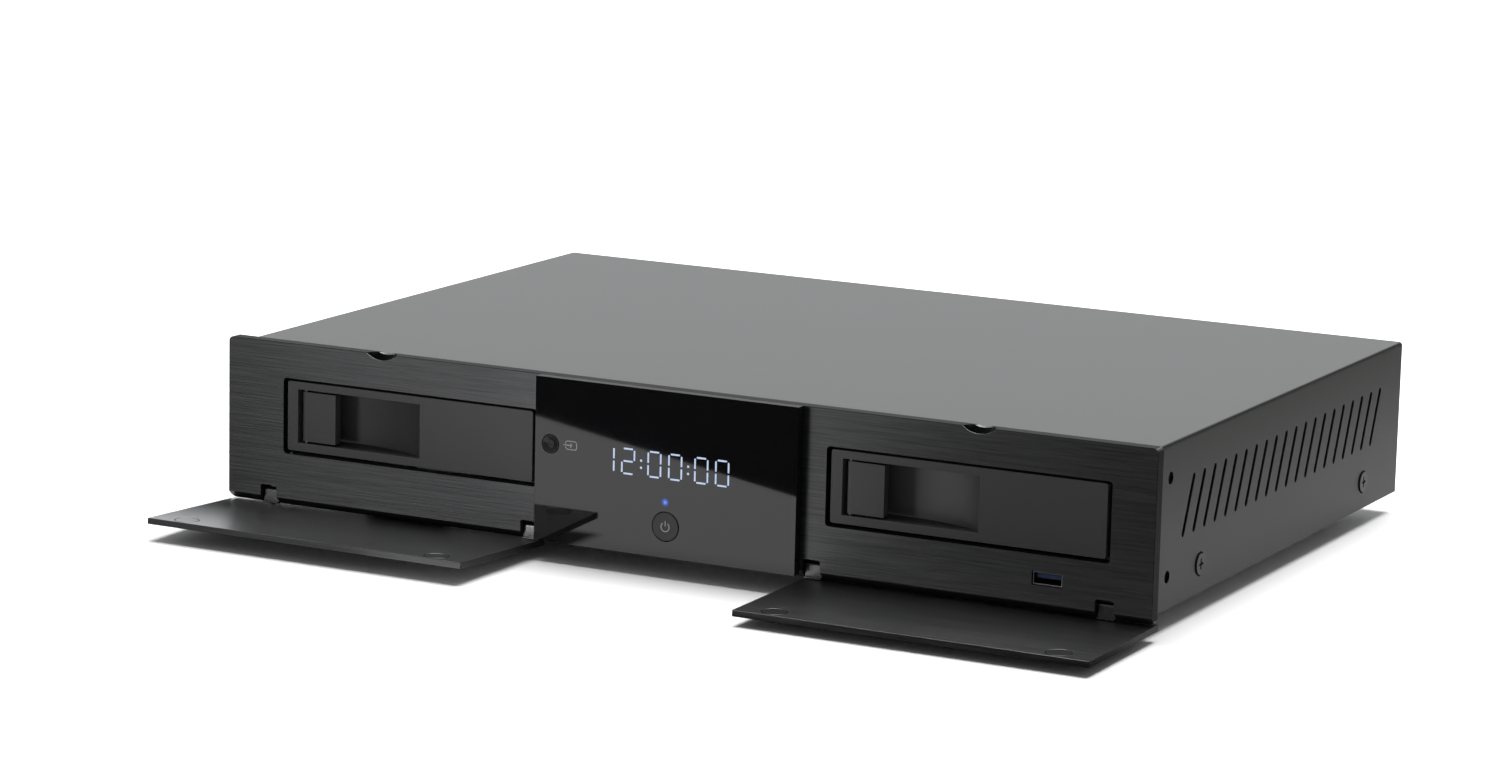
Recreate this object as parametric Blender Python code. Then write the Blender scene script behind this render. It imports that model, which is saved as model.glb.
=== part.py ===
"""A full-width media player with two pull-out hard drive trays behind drop-down doors.

Metres, +Z up, +X to the right for someone who faces the front, which looks towards -Y.
The origin is on the floor, in the middle of the whole object as it stands with both doors open.
Places along Y are worked out from the front face of the front plate, FRONT.
"""

import math

import bmesh
import bpy
from mathutils import Matrix, Vector

for old in list(bpy.data.objects):
    bpy.data.objects.remove(old)

# The least gap between neighbouring pieces, and how far a cutter reaches past what it cuts
GAP = 0.0003
OVERRUN = 0.005

# Front plate
PLATE_WIDTH = 0.430
PLATE_HEIGHT = 0.0695
PLATE_THICKNESS = 0.0055
PLATE_CORNER = 0.002
PLATE_DROP = 0.0014
PLATE_CHAMFER = 0.0031
GROUND_CLEARANCE = 0.009
FINGER_RADIUS = 0.0125
FINGER_DEPTH = 0.0028
FINGER_BACK_DEPTH = 0.0005
HINGE_NOTCH_HEIGHT = 0.0066
HINGE_NOTCH_CORNER = 0.001

# Racks: the two bays, and the sheet cage in each; a share says how much of the room that a cage
# leaves between the middle of the case and its wall lies on the middle's side
LEFT_BAY_SHARE = 0.744
RIGHT_BAY_SHARE = 0.85
BAY_RISE = 0.0213
BAY_HEIGHT = 0.033
BAY_MARGIN = 0.002
BAY_CORNER = 0.0015
CAGE_WALL = 0.001
CAGE_PLAY = 0.0015
ISOLATOR_RADIUS = 0.005
ISOLATOR_HEIGHT = 0.0062
ISOLATOR_WAIST = 0.0035
ISOLATOR_INSET = 0.018
ISOLATOR_END = 0.028

# Hard drive trays
TRAY_WIDTH = 0.1206
TRAY_HEIGHT = 0.0303
TRAY_CORNER = 0.001
TRAY_SET_BACK = 0.0003
DRIVE_LENGTH = 0.150
TRAY_END_PLAY = 0.0042
BEZEL_DEPTH = 0.016
TRAY_FLOOR = 0.0016
RAIL_WIDTH = 0.006
RAIL_HEIGHT = 0.020
DRIVE_WIDTH = 0.103
WINDOW_START = 0.0052
WINDOW_WIDTH = 0.0604
WINDOW_BOTTOM = 0.0037
WINDOW_HEIGHT = 0.0232
POCKET_DEPTH = 0.012
SCOOP_START = 0.021
SCOOP_EDGE = 0.0015
SCOOP_TURN = math.radians(60)
RAIL_SLOT_LENGTH = 0.030
RAIL_SLOT_HEIGHT = 0.004

# Tray levers and their pins
LEVER_WIDTH = 0.017
LEVER_HEIGHT = 0.0215
LEVER_THICKNESS = 0.0024
LEVER_SET_BACK = 0.0006
LEVER_BARREL = 0.0016
LEVER_SIDE_GAP = 0.0014
LEVER_PIN_RADIUS = 0.0007
LEVER_PIN_SEAT = 0.0024
LEVER_GRIP = 0.0016

# Doors, as they lie open
DOOR_THICKNESS = 0.00267
DOOR_REACH = 0.0612
DOOR_BACK = 0.007
DOOR_DROP = 0.00195
DOOR_LAP = 0.0007
DOOR_TILTS = {"left": math.radians(2.6), "right": math.radians(-0.3)}
MAGNET_RADIUS = 0.005
MAGNET_THICKNESS = 0.0012
MAGNET_END = 0.0155
MAGNET_EDGE = 0.0065

# Hinge clips and pins
HINGE_BACK = 0.004
HINGE_RISE = 0.0035
CLIP_WIDTH = 0.0075
CLIP_KNUCKLE = 0.0014
CLIP_FOOT = 0.0026
CLIP_FOOT_THICKNESS = 0.0006
CLIP_OUTER = 0.0203
CLIP_INNER = 0.0039
STUD_RADIUS = 0.001
STUD_DEPTH = 0.0013
HINGE_PIN_RADIUS = 0.0006
HINGE_PIN_SEAT = 0.0022

# Display panel, display module, control board and buttons
PANEL_GAP = 0.0012
PANEL_HEIGHT = 0.0695
PANEL_THICKNESS = 0.0042
DISPLAY_SHARE = 0.592
DISPLAY_HEIGHT = 0.018
DISPLAY_THICKNESS = 0.0074
DISPLAY_RISE = 0.0385
DISPLAY_RIM = 0.003
BOARD_THICKNESS = 0.0016
CONTROL_BOARD_BACK = 0.014
CONTROL_BOARD_MARGIN = 0.0028
CONTROL_BOARD_HEIGHT = 0.056
POST_RADIUS = 0.003
POST_INSET = 0.005
POWER_PLACE = 0.0012
POWER_RISE = 0.0131
POWER_RADIUS = 0.006
INPUT_INSET = 0.0073
INPUT_RISE = 0.0415
INPUT_RADIUS = 0.00375
BUTTON_PROUD = 0.0002
BUTTON_FLANGE = 0.0016
BUTTON_FLANGE_THICKNESS = 0.0012
BUTTON_STEM = 0.0015
BUTTON_TRAVEL = 0.0008
SWITCH_SIZE = 0.006
SWITCH_HEIGHT = 0.0032
LAMP_RISE = 0.0233
LAMP_RADIUS = 0.0015

# Case: base, lid and rear panel
SHEET = 0.0012
CASE_INSET = 0.0039
CASE_DEPTH = 0.290
LID_STEP = 0.002
LID_BEND = 0.0015
REAR_RECESS = 0.0011
FLANGE_HEIGHT = 0.024
CENTRE_OPENING_MARGIN = 0.0012
CENTRE_OPENING_BOTTOM = 0.0025

# Vent slots, holes and screws in the sides of the lid
SLOT_COUNT = 20
SLOT_END = 0.0312
SLOT_WIDTH = 0.0028
SLOT_START = 0.0433
SLOT_LEAN = 0.0095
SLOT_RISE = 0.028
SLOT_HEIGHT = 0.022
SIDE_HOLE_RADIUS = 0.0026
SIDE_HOLE_START = 0.0235
SIDE_HOLE_RISES = (0.0134, 0.0534)
FRONT_SCREW_PLACE = 0.058
REAR_SCREW_INSET = 0.0436
SCREW_RISE = 0.0121
SCREW_HEAD_RADIUS = 0.0045
SCREW_HEAD_HEIGHT = 0.0009
SCREW_RADIUS = 0.0015
SCREW_LENGTH = 0.006
SCREW_RECESS = 0.0006
SCREW_SLOT_WIDTH = 0.0009
SCREW_SLOT_DEPTH = 0.0006

# Feet
FOOT_RADIUS = 0.018
FOOT_SIDE_INSET = 0.045
FOOT_FRONT_INSET = 0.070
FOOT_REAR_INSET = 0.045
FOOT_TAPER = 0.0025
FOOT_STEM_RADIUS = 0.003
FOOT_STEM_HEIGHT = 0.004

# Boards and what stands on them
BOARD_STAND = 0.006
STAND_RADIUS = 0.0035
POWER_BOARD_MARGIN = 0.0119
POWER_BOARD_START = 0.036
POWER_BOARD_LENGTH = 0.134
TRANSFORMER_SIZE = (0.034, 0.030, 0.028)
CAPACITOR_RADIUS = 0.011
CAPACITOR_HEIGHT = 0.030
CHOKE_SIZE = (0.018, 0.022, 0.020)
MAIN_BOARD_WIDTH = 0.290
MAIN_BOARD_MARGIN = 0.0234
MAIN_BOARD_START_GAP = 0.0162
MAIN_BOARD_END_GAP = 0.004
HEAT_SINK_WIDTH = 0.064
HEAT_SINK_HEIGHT = 0.020
HEAT_SINK_SHARE = 0.655
HEAT_SINK_BASE = 0.004
HEAT_SINK_FINS = 9
HEAT_SINK_FIN = 0.0016
HEAT_SINK_INSET = 0.125
DRIVE_PLUG_SIZE = (0.042, 0.0055, 0.007)
DRIVE_PLUG_OFFSET = 0.012
DRIVE_PLUG_RISE = 0.005

# Sockets: width, depth and height of each shell, its wall and its tongue
USB_SIZE = (0.0127, 0.0175, 0.0052)
USB_WALL = 0.0004
USB_TONGUE = 0.0018
FRONT_USB_INSET = 0.0451
FRONT_USB_RISE = 0.00915
FRONT_USB_SET_BACK = 0.0006
FRONT_USB_BOARD = (0.024, 0.020)
FRONT_USB_STAND_RADIUS = 0.005
SOCKET_PROUD = 0.0003
NETWORK_SIZE = (0.016, 0.021, 0.0135)
NETWORK_HOLE = (0.0118, 0.013, 0.008)
NETWORK_GAP = 0.0207
NETWORK_HOLE_RISE = 0.0025
USB_PAIR_SIZE = (0.0147, 0.0175, 0.0156)
USB_PAIR_GAP = 0.0231
USB_PAIR_BAR = 0.0036
VIDEO_SIZE = (0.015, 0.0115, 0.006)
VIDEO_WALL = 0.0006
VIDEO_TONGUE = 0.0016
VIDEO_GAP = 0.0305
VIDEO_CHAMFER = 0.0018
AUDIO_SIZE = (0.032, 0.011, 0.0125)
AUDIO_INSET = 0.045
AUDIO_PITCH = 0.016
AUDIO_BARREL = 0.0042
AUDIO_BORE = 0.0018
AUDIO_LENGTH = 0.008
INLET_SIZE = (0.0275, 0.020, 0.020)
INLET_FLANGE = (0.0345, 0.0022, 0.0265)
INLET_HOLE = (0.0235, 0.015, 0.017)
INLET_INSET = 0.057
INLET_RISE = 0.036
INLET_PIN = (0.002, 0.011, 0.004)
INLET_PIN_SPREAD = 0.007
INLET_PIN_RISE = 0.002

# How many straight sides stand for a full turn of large, middling and small round shapes
LARGE_SIDES = 48
MIDDLE_SIDES = 24
SMALL_SIDES = 12
CORNER_STEPS = 3
SCOOP_STEPS = 8

# Places that several pieces share
HALF_PLATE = PLATE_WIDTH / 2
PLATE_TOP = GROUND_CLEARANCE + PLATE_HEIGHT
PLATE_BOTTOM = GROUND_CLEARANCE - PLATE_DROP
HALF_CASE = HALF_PLATE - CASE_INSET
CASE_TOP = PLATE_TOP - LID_STEP
HALF_BASE = HALF_CASE - SHEET - GAP
FLOOR_TOP = GROUND_CLEARANCE + SHEET
CASE_REAR = CASE_DEPTH - REAR_RECESS
HINGE_LEVEL = GROUND_CLEARANCE + HINGE_RISE
DOOR_HANG = HINGE_RISE + DOOR_DROP
DOOR_TOP = GROUND_CLEARANCE - DOOR_DROP
BAY_BOTTOM = GROUND_CLEARANCE + BAY_RISE
TRAY_BOTTOM = BAY_BOTTOM + (BAY_HEIGHT - TRAY_HEIGHT) / 2 + GAP
DISPLAY_LEVEL = GROUND_CLEARANCE + DISPLAY_RISE
POWER_LEVEL = GROUND_CLEARANCE + POWER_RISE
INPUT_LEVEL = GROUND_CLEARANCE + INPUT_RISE
LAMP_LEVEL = GROUND_CLEARANCE + LAMP_RISE
SLOT_BOTTOM = GROUND_CLEARANCE + SLOT_RISE
SLOT_TOP = SLOT_BOTTOM + SLOT_HEIGHT
SIDE_HOLE_LEVELS = [GROUND_CLEARANCE + rise for rise in SIDE_HOLE_RISES]
SCREW_LEVEL = GROUND_CLEARANCE + SCREW_RISE
FRONT_USB_BOTTOM = GROUND_CLEARANCE + FRONT_USB_RISE
INLET_LEVEL = GROUND_CLEARANCE + INLET_RISE
CAGE_BOTTOM = TRAY_BOTTOM - GAP - CAGE_WALL
CAGE_TOP = TRAY_BOTTOM + TRAY_HEIGHT + GAP + CAGE_WALL
HALF_TRAY = TRAY_WIDTH / 2
HALF_CAGE = HALF_TRAY + GAP + CAGE_WALL
HALF_BAY = HALF_TRAY + BAY_MARGIN
BAY_ROOM = HALF_BASE - SHEET - HALF_CAGE * 2
BAY_MIDDLES = {
    "left": -BAY_ROOM * LEFT_BAY_SHARE - HALF_CAGE,
    "right": BAY_ROOM * RIGHT_BAY_SHARE + HALF_CAGE,
}
DOOR_INNER_EDGE = min(abs(middle) for middle in BAY_MIDDLES.values()) - HALF_BAY - DOOR_LAP
PANEL_WIDTH = (DOOR_INNER_EDGE - PANEL_GAP) * 2
DISPLAY_WIDTH = PANEL_WIDTH * DISPLAY_SHARE
CONTROL_BOARD_WIDTH = PANEL_WIDTH - CONTROL_BOARD_MARGIN * 2
CENTRE_OPENING_WIDTH = CONTROL_BOARD_WIDTH + CENTRE_OPENING_MARGIN * 2
INPUT_PLACE = INPUT_INSET - PANEL_WIDTH / 2
FRONT_USB_PLACE = HALF_PLATE - FRONT_USB_INSET
INLET_PLACE = INLET_INSET - HALF_PLATE
MAIN_BOARD_SIDE = HALF_BASE - SHEET - MAIN_BOARD_MARGIN
AUDIO_PLACE = MAIN_BOARD_SIDE - AUDIO_INSET
VIDEO_PLACE = AUDIO_PLACE - (AUDIO_SIZE[0] + VIDEO_SIZE[0]) / 2 - VIDEO_GAP
USB_PAIR_PLACE = VIDEO_PLACE - (VIDEO_SIZE[0] + USB_PAIR_SIZE[0]) / 2 - USB_PAIR_GAP
NETWORK_PLACE = USB_PAIR_PLACE - (USB_PAIR_SIZE[0] + NETWORK_SIZE[0]) / 2 - NETWORK_GAP
HEAT_SINK_PLACE = MAIN_BOARD_SIDE - HEAT_SINK_INSET
SLOT_PITCH = (CASE_DEPTH - SLOT_START - SLOT_END) / (SLOT_COUNT - 1)
SCREW_PLACES = (FRONT_SCREW_PLACE, CASE_DEPTH - REAR_SCREW_INSET)


def turned(along, up, tilt):
    """Where a point beside a hinge pin comes to when what it is on tips its front up by a tilt."""
    return along * math.cos(tilt) + up * math.sin(tilt), up * math.cos(tilt) - along * math.sin(tilt)


DOOR_TIPS = [
    turned(-HINGE_BACK - DOOR_REACH, up, tilt)[0]
    for tilt in DOOR_TILTS.values()
    for up in (-DOOR_HANG, -DOOR_HANG - DOOR_THICKNESS)
]
FRONT_MOST = min(DOOR_TIPS) + HINGE_BACK
REAR_MOST = CASE_REAR + AUDIO_LENGTH
FRONT = -(FRONT_MOST + REAR_MOST) / 2

PLATE_BACK = FRONT + PLATE_THICKNESS
BASE_FRONT = PLATE_BACK + GAP
BASE_REAR = FRONT + CASE_REAR
LID_REAR = FRONT + CASE_DEPTH
REAR_PANEL_FRONT = BASE_REAR - SHEET
PANEL_FRONT = FRONT - GAP - PANEL_THICKNESS
PIN_PLACE = FRONT + HINGE_BACK
TRAY_FRONT = FRONT + TRAY_SET_BACK
TRAY_REAR = TRAY_FRONT + BEZEL_DEPTH + DRIVE_LENGTH
CAGE_FRONT = PLATE_BACK + GAP
CAGE_REAR = TRAY_REAR + TRAY_END_PLAY + DRIVE_PLUG_SIZE[1] - GAP
CONTROL_BOARD_FRONT = FRONT + CONTROL_BOARD_BACK
BOARD_BOTTOM = FLOOR_TOP + BOARD_STAND + GAP
BOARD_TOP = BOARD_BOTTOM + BOARD_THICKNESS
ISOLATOR_TOP = CAGE_BOTTOM - GAP
ISOLATOR_BOTTOM = ISOLATOR_TOP - ISOLATOR_HEIGHT
BUTTONS = {
    "power_button": (POWER_PLACE, POWER_LEVEL, POWER_RADIUS),
    "input_button": (INPUT_PLACE, INPUT_LEVEL, INPUT_RADIUS),
}
CONTROL_BOARD_MIDDLE = GROUND_CLEARANCE + PLATE_HEIGHT / 2
HALF_CONTROL_POSTS = CONTROL_BOARD_WIDTH / 2 - POST_INSET
CONTROL_POST_LEVELS = [
    CONTROL_BOARD_MIDDLE + sign * (CONTROL_BOARD_HEIGHT / 2 - POST_INSET) for sign in (-1, 1)
]
MAIN_BOARD_REAR = REAR_PANEL_FRONT - MAIN_BOARD_END_GAP
MAIN_BOARD_FRONT = CAGE_REAR + MAIN_BOARD_START_GAP
MAIN_BOARD = (MAIN_BOARD_SIDE - MAIN_BOARD_WIDTH / 2, MAIN_BOARD_FRONT, MAIN_BOARD_WIDTH,
              MAIN_BOARD_REAR - MAIN_BOARD_FRONT)
HEAT_SINK_ROOM = BASE_REAR + SOCKET_PROUD - NETWORK_SIZE[1] - MAIN_BOARD_FRONT
POWER_BOARD_MIDDLE = sum(BAY_MIDDLES.values()) / 2
POWER_BOARD_WIDTH = BAY_MIDDLES["right"] - BAY_MIDDLES["left"] - HALF_CAGE * 2 - POWER_BOARD_MARGIN * 2
POWER_BOARD = (POWER_BOARD_MIDDLE, FRONT + POWER_BOARD_START, POWER_BOARD_WIDTH, POWER_BOARD_LENGTH)
FRONT_USB_FRONT = FRONT + FRONT_USB_SET_BACK
FOOT_PLACES = {
    side + "_" + end: (sign * (HALF_CASE - FOOT_SIDE_INSET), depth)
    for side, sign in (("left", -1), ("right", 1))
    for end, depth in (("front", FRONT + FOOT_FRONT_INSET), ("rear", LID_REAR - FOOT_REAR_INSET))
}
SOCKET_BOTTOM = BOARD_TOP + GAP
SOCKET_FACES = [
    (NETWORK_PLACE, SOCKET_BOTTOM, NETWORK_SIZE[0], NETWORK_SIZE[2]),
    (USB_PAIR_PLACE, SOCKET_BOTTOM, USB_PAIR_SIZE[0], USB_PAIR_SIZE[2]),
    (VIDEO_PLACE, SOCKET_BOTTOM, VIDEO_SIZE[0], VIDEO_SIZE[2]),
    (AUDIO_PLACE, SOCKET_BOTTOM, AUDIO_SIZE[0], AUDIO_SIZE[2]),
    (INLET_PLACE, INLET_LEVEL - INLET_SIZE[2] / 2, INLET_SIZE[0], INLET_SIZE[2]),
]


def mesh_object(name, bm):
    """The finished bmesh as an object of its own in the scene."""
    mesh = bpy.data.meshes.new(name)
    bm.to_mesh(mesh)
    bm.free()
    obj = bpy.data.objects.new(name, mesh)
    bpy.context.scene.collection.objects.link(obj)
    return obj


def block(name, low, high):
    """A box between its lowest and its highest corner."""
    size = Vector(high) - Vector(low)
    middle = (Vector(high) + Vector(low)) / 2
    bm = bmesh.new()
    matrix = Matrix.Translation(middle) @ Matrix.Diagonal(size).to_4x4()
    bmesh.ops.create_cube(bm, size=1, matrix=matrix)
    return mesh_object(name, bm)


def spot(axis, along, first, second):
    """A point from its place along one axis and its places along the other two, in the order X, Y, Z."""
    point = [first, second]
    point.insert(axis, along)
    return Vector(point)


def prism(name, outline, axis, start, end, smooth=False):
    """A flat outline pushed along one axis, from start to end."""
    bm = bmesh.new()
    face = bm.faces.new([bm.verts.new(spot(axis, start, *point)) for point in outline])
    grown = bmesh.ops.extrude_face_region(bm, geom=[face])["geom"]
    moved = [item for item in grown if isinstance(item, bmesh.types.BMVert)]
    bmesh.ops.translate(bm, verts=moved, vec=spot(axis, end - start, 0, 0))
    bmesh.ops.recalc_face_normals(bm, faces=bm.faces)
    obj = mesh_object(name, bm)
    if smooth:
        obj.data.shade_smooth()
        obj.data.set_sharp_from_angle(angle=math.radians(40))
    return obj


def arc(middle, radius, start, end, steps):
    """Points on an arc, in degrees, with both of its ends."""
    turns = [math.radians(start + (end - start) * step / steps) for step in range(steps + 1)]
    return [(middle[0] + radius * math.cos(turn), middle[1] + radius * math.sin(turn)) for turn in turns]


def rounded(low, high, radius):
    """The outline of a rectangle with round corners."""
    corners = [
        ((high[0] - radius, high[1] - radius), 0),
        ((low[0] + radius, high[1] - radius), 90),
        ((low[0] + radius, low[1] + radius), 180),
        ((high[0] - radius, low[1] + radius), 270),
    ]
    arcs = [arc(middle, radius, turn, turn + 90, CORNER_STEPS) for middle, turn in corners]
    return [point for points in arcs for point in points]


def rod(name, axis, middle, radius, start, end, sides=SMALL_SIDES):
    """A round bar along one axis."""
    circle = arc(middle, radius, 0, 360, sides)[:-1]
    return prism(name, circle, axis, start, end, smooth=True)


def combine(target, helper, operation):
    """A Boolean of two objects, whose helper stays out of the render."""
    helper.hide_render = True
    helper.display_type = "WIRE"
    helper.parent = target
    modifier = target.modifiers.new(helper.name, "BOOLEAN")
    modifier.operation = operation
    modifier.object = helper


def cut(target, *helpers):
    for helper in helpers:
        combine(target, helper, "DIFFERENCE")


def weld(target, *helpers):
    for helper in helpers:
        combine(target, helper, "UNION")


def finish(obj, colour, roughness, metallic):
    """A plain Principled material of the object's own."""
    material = bpy.data.materials.new(obj.name)
    material.use_nodes = True
    shader = material.node_tree.nodes["Principled BSDF"]
    shader.inputs["Base Color"].default_value = (*colour, 1)
    shader.inputs["Roughness"].default_value = roughness
    shader.inputs["Metallic"].default_value = metallic
    obj.data.materials.append(material)
    return obj


def brushed(obj):
    return finish(obj, (0.045, 0.046, 0.048), 0.38, 0.9)


def painted(obj):
    return finish(obj, (0.06, 0.058, 0.056), 0.5, 0.2)


def gloss(obj):
    return finish(obj, (0.006, 0.006, 0.007), 0.06, 0)


def black_plastic(obj):
    return finish(obj, (0.03, 0.03, 0.031), 0.45, 0)


def zinc(obj):
    return finish(obj, (0.42, 0.42, 0.43), 0.4, 0.9)


def steel(obj):
    return finish(obj, (0.55, 0.55, 0.56), 0.25, 1)


def black_sheet(obj):
    return finish(obj, (0.012, 0.012, 0.013), 0.45, 0.2)


def rubber(obj):
    return finish(obj, (0.02, 0.02, 0.02), 0.85, 0)


def circuit_board(obj):
    return finish(obj, (0.015, 0.07, 0.03), 0.5, 0)


def aluminium(obj):
    return finish(obj, (0.62, 0.63, 0.64), 0.35, 1)


def glowing(obj):
    finish(obj, (0.25, 0.45, 0.9), 0.3, 0)
    shader = obj.data.materials[0].node_tree.nodes["Principled BSDF"]
    shader.inputs["Emission Color"].default_value = (0.2, 0.4, 1, 1)
    shader.inputs["Emission Strength"].default_value = 1
    return obj


def carrier(name, place, tilt=0):
    """An empty on a joint's axis, turned about X by the tilt that its pieces rest at."""
    empty = bpy.data.objects.new(name, None)
    bpy.context.scene.collection.objects.link(empty)
    empty.location = place
    empty.rotation_euler = (-tilt, 0, 0)
    return empty


def carry(empty, *pieces):
    """Hangs pieces that were made in place on an empty, so that they follow its turn."""
    for piece in pieces:
        piece.parent = empty
        piece.matrix_parent_inverse = Matrix.Translation(-Vector(empty.location))


def clip_places(side):
    """The middles along X of a door's two hinge clips, the outer one first."""
    sign = -1 if side == "left" else 1
    return {
        "outer": sign * (HALF_PLATE - CLIP_OUTER),
        "inner": sign * (DOOR_INNER_EDGE + CLIP_INNER),
    }


def all_clips():
    """Every clip's middle along X, by its side and end."""
    return {(side, end): place for side in BAY_MIDDLES for end, place in clip_places(side).items()}


def front_plate():
    """The thick brushed plate: bays, finger and hinge notches, and the posts of the control board."""
    low = (-HALF_PLATE, PLATE_BOTTOM)
    high = (HALF_PLATE, PLATE_TOP)
    plate = prism("front_plate", rounded(low, high, PLATE_CORNER), 1, FRONT, PLATE_BACK)
    for place in (-HALF_CONTROL_POSTS, HALF_CONTROL_POSTS):
        for level in CONTROL_POST_LEVELS:
            weld(plate, rod("post", 1, (place, level), POST_RADIUS, FRONT + PLATE_THICKNESS / 2,
                            CONTROL_BOARD_FRONT - GAP))
    edge = [
        (FRONT - OVERRUN, PLATE_BOTTOM - OVERRUN),
        (FRONT + PLATE_CHAMFER + OVERRUN, PLATE_BOTTOM - OVERRUN),
        (FRONT - OVERRUN, PLATE_BOTTOM + PLATE_CHAMFER + OVERRUN),
    ]
    cut(plate, prism("edge_cut", edge, 0, -HALF_PLATE - OVERRUN, HALF_PLATE + OVERRUN))
    for middle in BAY_MIDDLES.values():
        low = (middle - HALF_BAY, BAY_BOTTOM)
        high = (middle + HALF_BAY, BAY_BOTTOM + BAY_HEIGHT)
        opening = prism("bay_cut", rounded(low, high, BAY_CORNER), 1, FRONT - OVERRUN, BASE_FRONT + OVERRUN)
        door_middle = math.copysign((HALF_PLATE + DOOR_INNER_EDGE) / 2, middle)
        finger = rod("finger_cut", 1, (0, FINGER_RADIUS), FINGER_RADIUS, -OVERRUN,
                     PLATE_THICKNESS + OVERRUN, LARGE_SIDES)
        finger.location = (door_middle, FRONT, PLATE_TOP - FINGER_DEPTH)
        finger.rotation_euler = (math.atan((FINGER_DEPTH - FINGER_BACK_DEPTH) / PLATE_THICKNESS), 0, 0)
        cut(plate, opening, finger)
    for place in all_clips().values():
        half = CLIP_WIDTH / 2 + GAP
        low = (place - half, PLATE_BOTTOM - OVERRUN)
        high = (place + half, GROUND_CLEARANCE + HINGE_NOTCH_HEIGHT)
        notch = prism("notch_cut", rounded(low, high, HINGE_NOTCH_CORNER), 1, FRONT - OVERRUN,
                      BASE_FRONT + OVERRUN)
        bore = rod("pin_cut", 0, (PIN_PLACE, HINGE_LEVEL), HINGE_PIN_RADIUS + GAP,
                   place - half - HINGE_PIN_SEAT, place + half + HINGE_PIN_SEAT)
        cut(plate, notch, bore)
    usb_low = (FRONT_USB_PLACE - USB_SIZE[0] / 2 - GAP, FRONT_USB_BOTTOM - GAP)
    usb_high = (FRONT_USB_PLACE + USB_SIZE[0] / 2 + GAP, FRONT_USB_BOTTOM + USB_SIZE[2] + GAP)
    cut(plate, block("usb_cut", (usb_low[0], FRONT - OVERRUN, usb_low[1]),
                     (usb_high[0], PLATE_BACK + OVERRUN, usb_high[1])))
    half = DISPLAY_WIDTH / 2 - DISPLAY_RIM
    rise = DISPLAY_HEIGHT / 2 - DISPLAY_RIM
    cut(plate, block("display_cut", (-half, FRONT - OVERRUN, DISPLAY_LEVEL - rise),
                     (half, PLATE_BACK + OVERRUN, DISPLAY_LEVEL + rise)))
    for place, level, radius in BUTTONS.values():
        cut(plate, rod("button_cut", 1, (place, level), radius + GAP, FRONT - OVERRUN,
                       PLATE_BACK + OVERRUN, MIDDLE_SIDES))
    cut(plate, rod("lamp_cut", 1, (POWER_PLACE, LAMP_LEVEL), LAMP_RADIUS + GAP, FRONT - OVERRUN,
                   PLATE_BACK + OVERRUN))
    return brushed(plate)


def display_window():
    """The gloss panel that covers the middle of the plate, with round holes for the two buttons."""
    rise = (PANEL_HEIGHT - PLATE_HEIGHT) / 2
    window = block("display_window", (-PANEL_WIDTH / 2, PANEL_FRONT, GROUND_CLEARANCE - rise),
                   (PANEL_WIDTH / 2, FRONT - GAP, PLATE_TOP + rise))
    for place, level, radius in BUTTONS.values():
        cut(window, rod("button_cut", 1, (place, level), radius + GAP, PANEL_FRONT - OVERRUN,
                        FRONT + OVERRUN, LARGE_SIDES))
    return gloss(window)


def display_module():
    """The clock display, which stands on the control board behind the plate's window."""
    rear = CONTROL_BOARD_FRONT - GAP
    wide, high = DISPLAY_WIDTH / 2, DISPLAY_HEIGHT / 2
    module = block("display_module", (-wide, rear - DISPLAY_THICKNESS, DISPLAY_LEVEL - high),
                   (wide, rear, DISPLAY_LEVEL + high))
    return gloss(module)


def control_board():
    """The board behind the plate, with one push switch behind each button."""
    wide, high = CONTROL_BOARD_WIDTH / 2, CONTROL_BOARD_HEIGHT / 2
    board = block("control_board", (-wide, CONTROL_BOARD_FRONT, CONTROL_BOARD_MIDDLE - high),
                  (wide, CONTROL_BOARD_FRONT + BOARD_THICKNESS, CONTROL_BOARD_MIDDLE + high))
    half = SWITCH_SIZE / 2
    for place, level, _ in BUTTONS.values():
        weld(board, block("switch", (place - half, CONTROL_BOARD_FRONT - SWITCH_HEIGHT, level - half),
                          (place + half, CONTROL_BOARD_FRONT + BOARD_THICKNESS / 2, level + half)))
    return circuit_board(board)


def button(name):
    """A round cap in the panel, a flange that keeps it behind the plate, and a stem to its switch."""
    place, level, radius = BUTTONS[name]
    flange_front = PLATE_BACK + GAP
    flange_back = flange_front + BUTTON_FLANGE_THICKNESS
    stem_end = CONTROL_BOARD_FRONT - SWITCH_HEIGHT - BUTTON_TRAVEL - GAP
    cap = rod(name, 1, (place, level), radius, PANEL_FRONT - BUTTON_PROUD,
              flange_front + BUTTON_FLANGE_THICKNESS / 2, LARGE_SIDES)
    flange = rod("flange", 1, (place, level), radius + BUTTON_FLANGE, flange_front, flange_back,
                 MIDDLE_SIDES)
    stem = rod("stem", 1, (place, level), BUTTON_STEM, flange_front + BUTTON_FLANGE_THICKNESS / 2, stem_end)
    weld(cap, flange, stem)
    carry(carrier(name + "_axis", (place, FRONT, level)), cap)
    return black_plastic(cap)


def power_light():
    """A light guide from the control board to the back of the panel."""
    return glowing(rod("power_light", 1, (POWER_PLACE, LAMP_LEVEL), LAMP_RADIUS, FRONT,
                       CONTROL_BOARD_FRONT - GAP))


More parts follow.
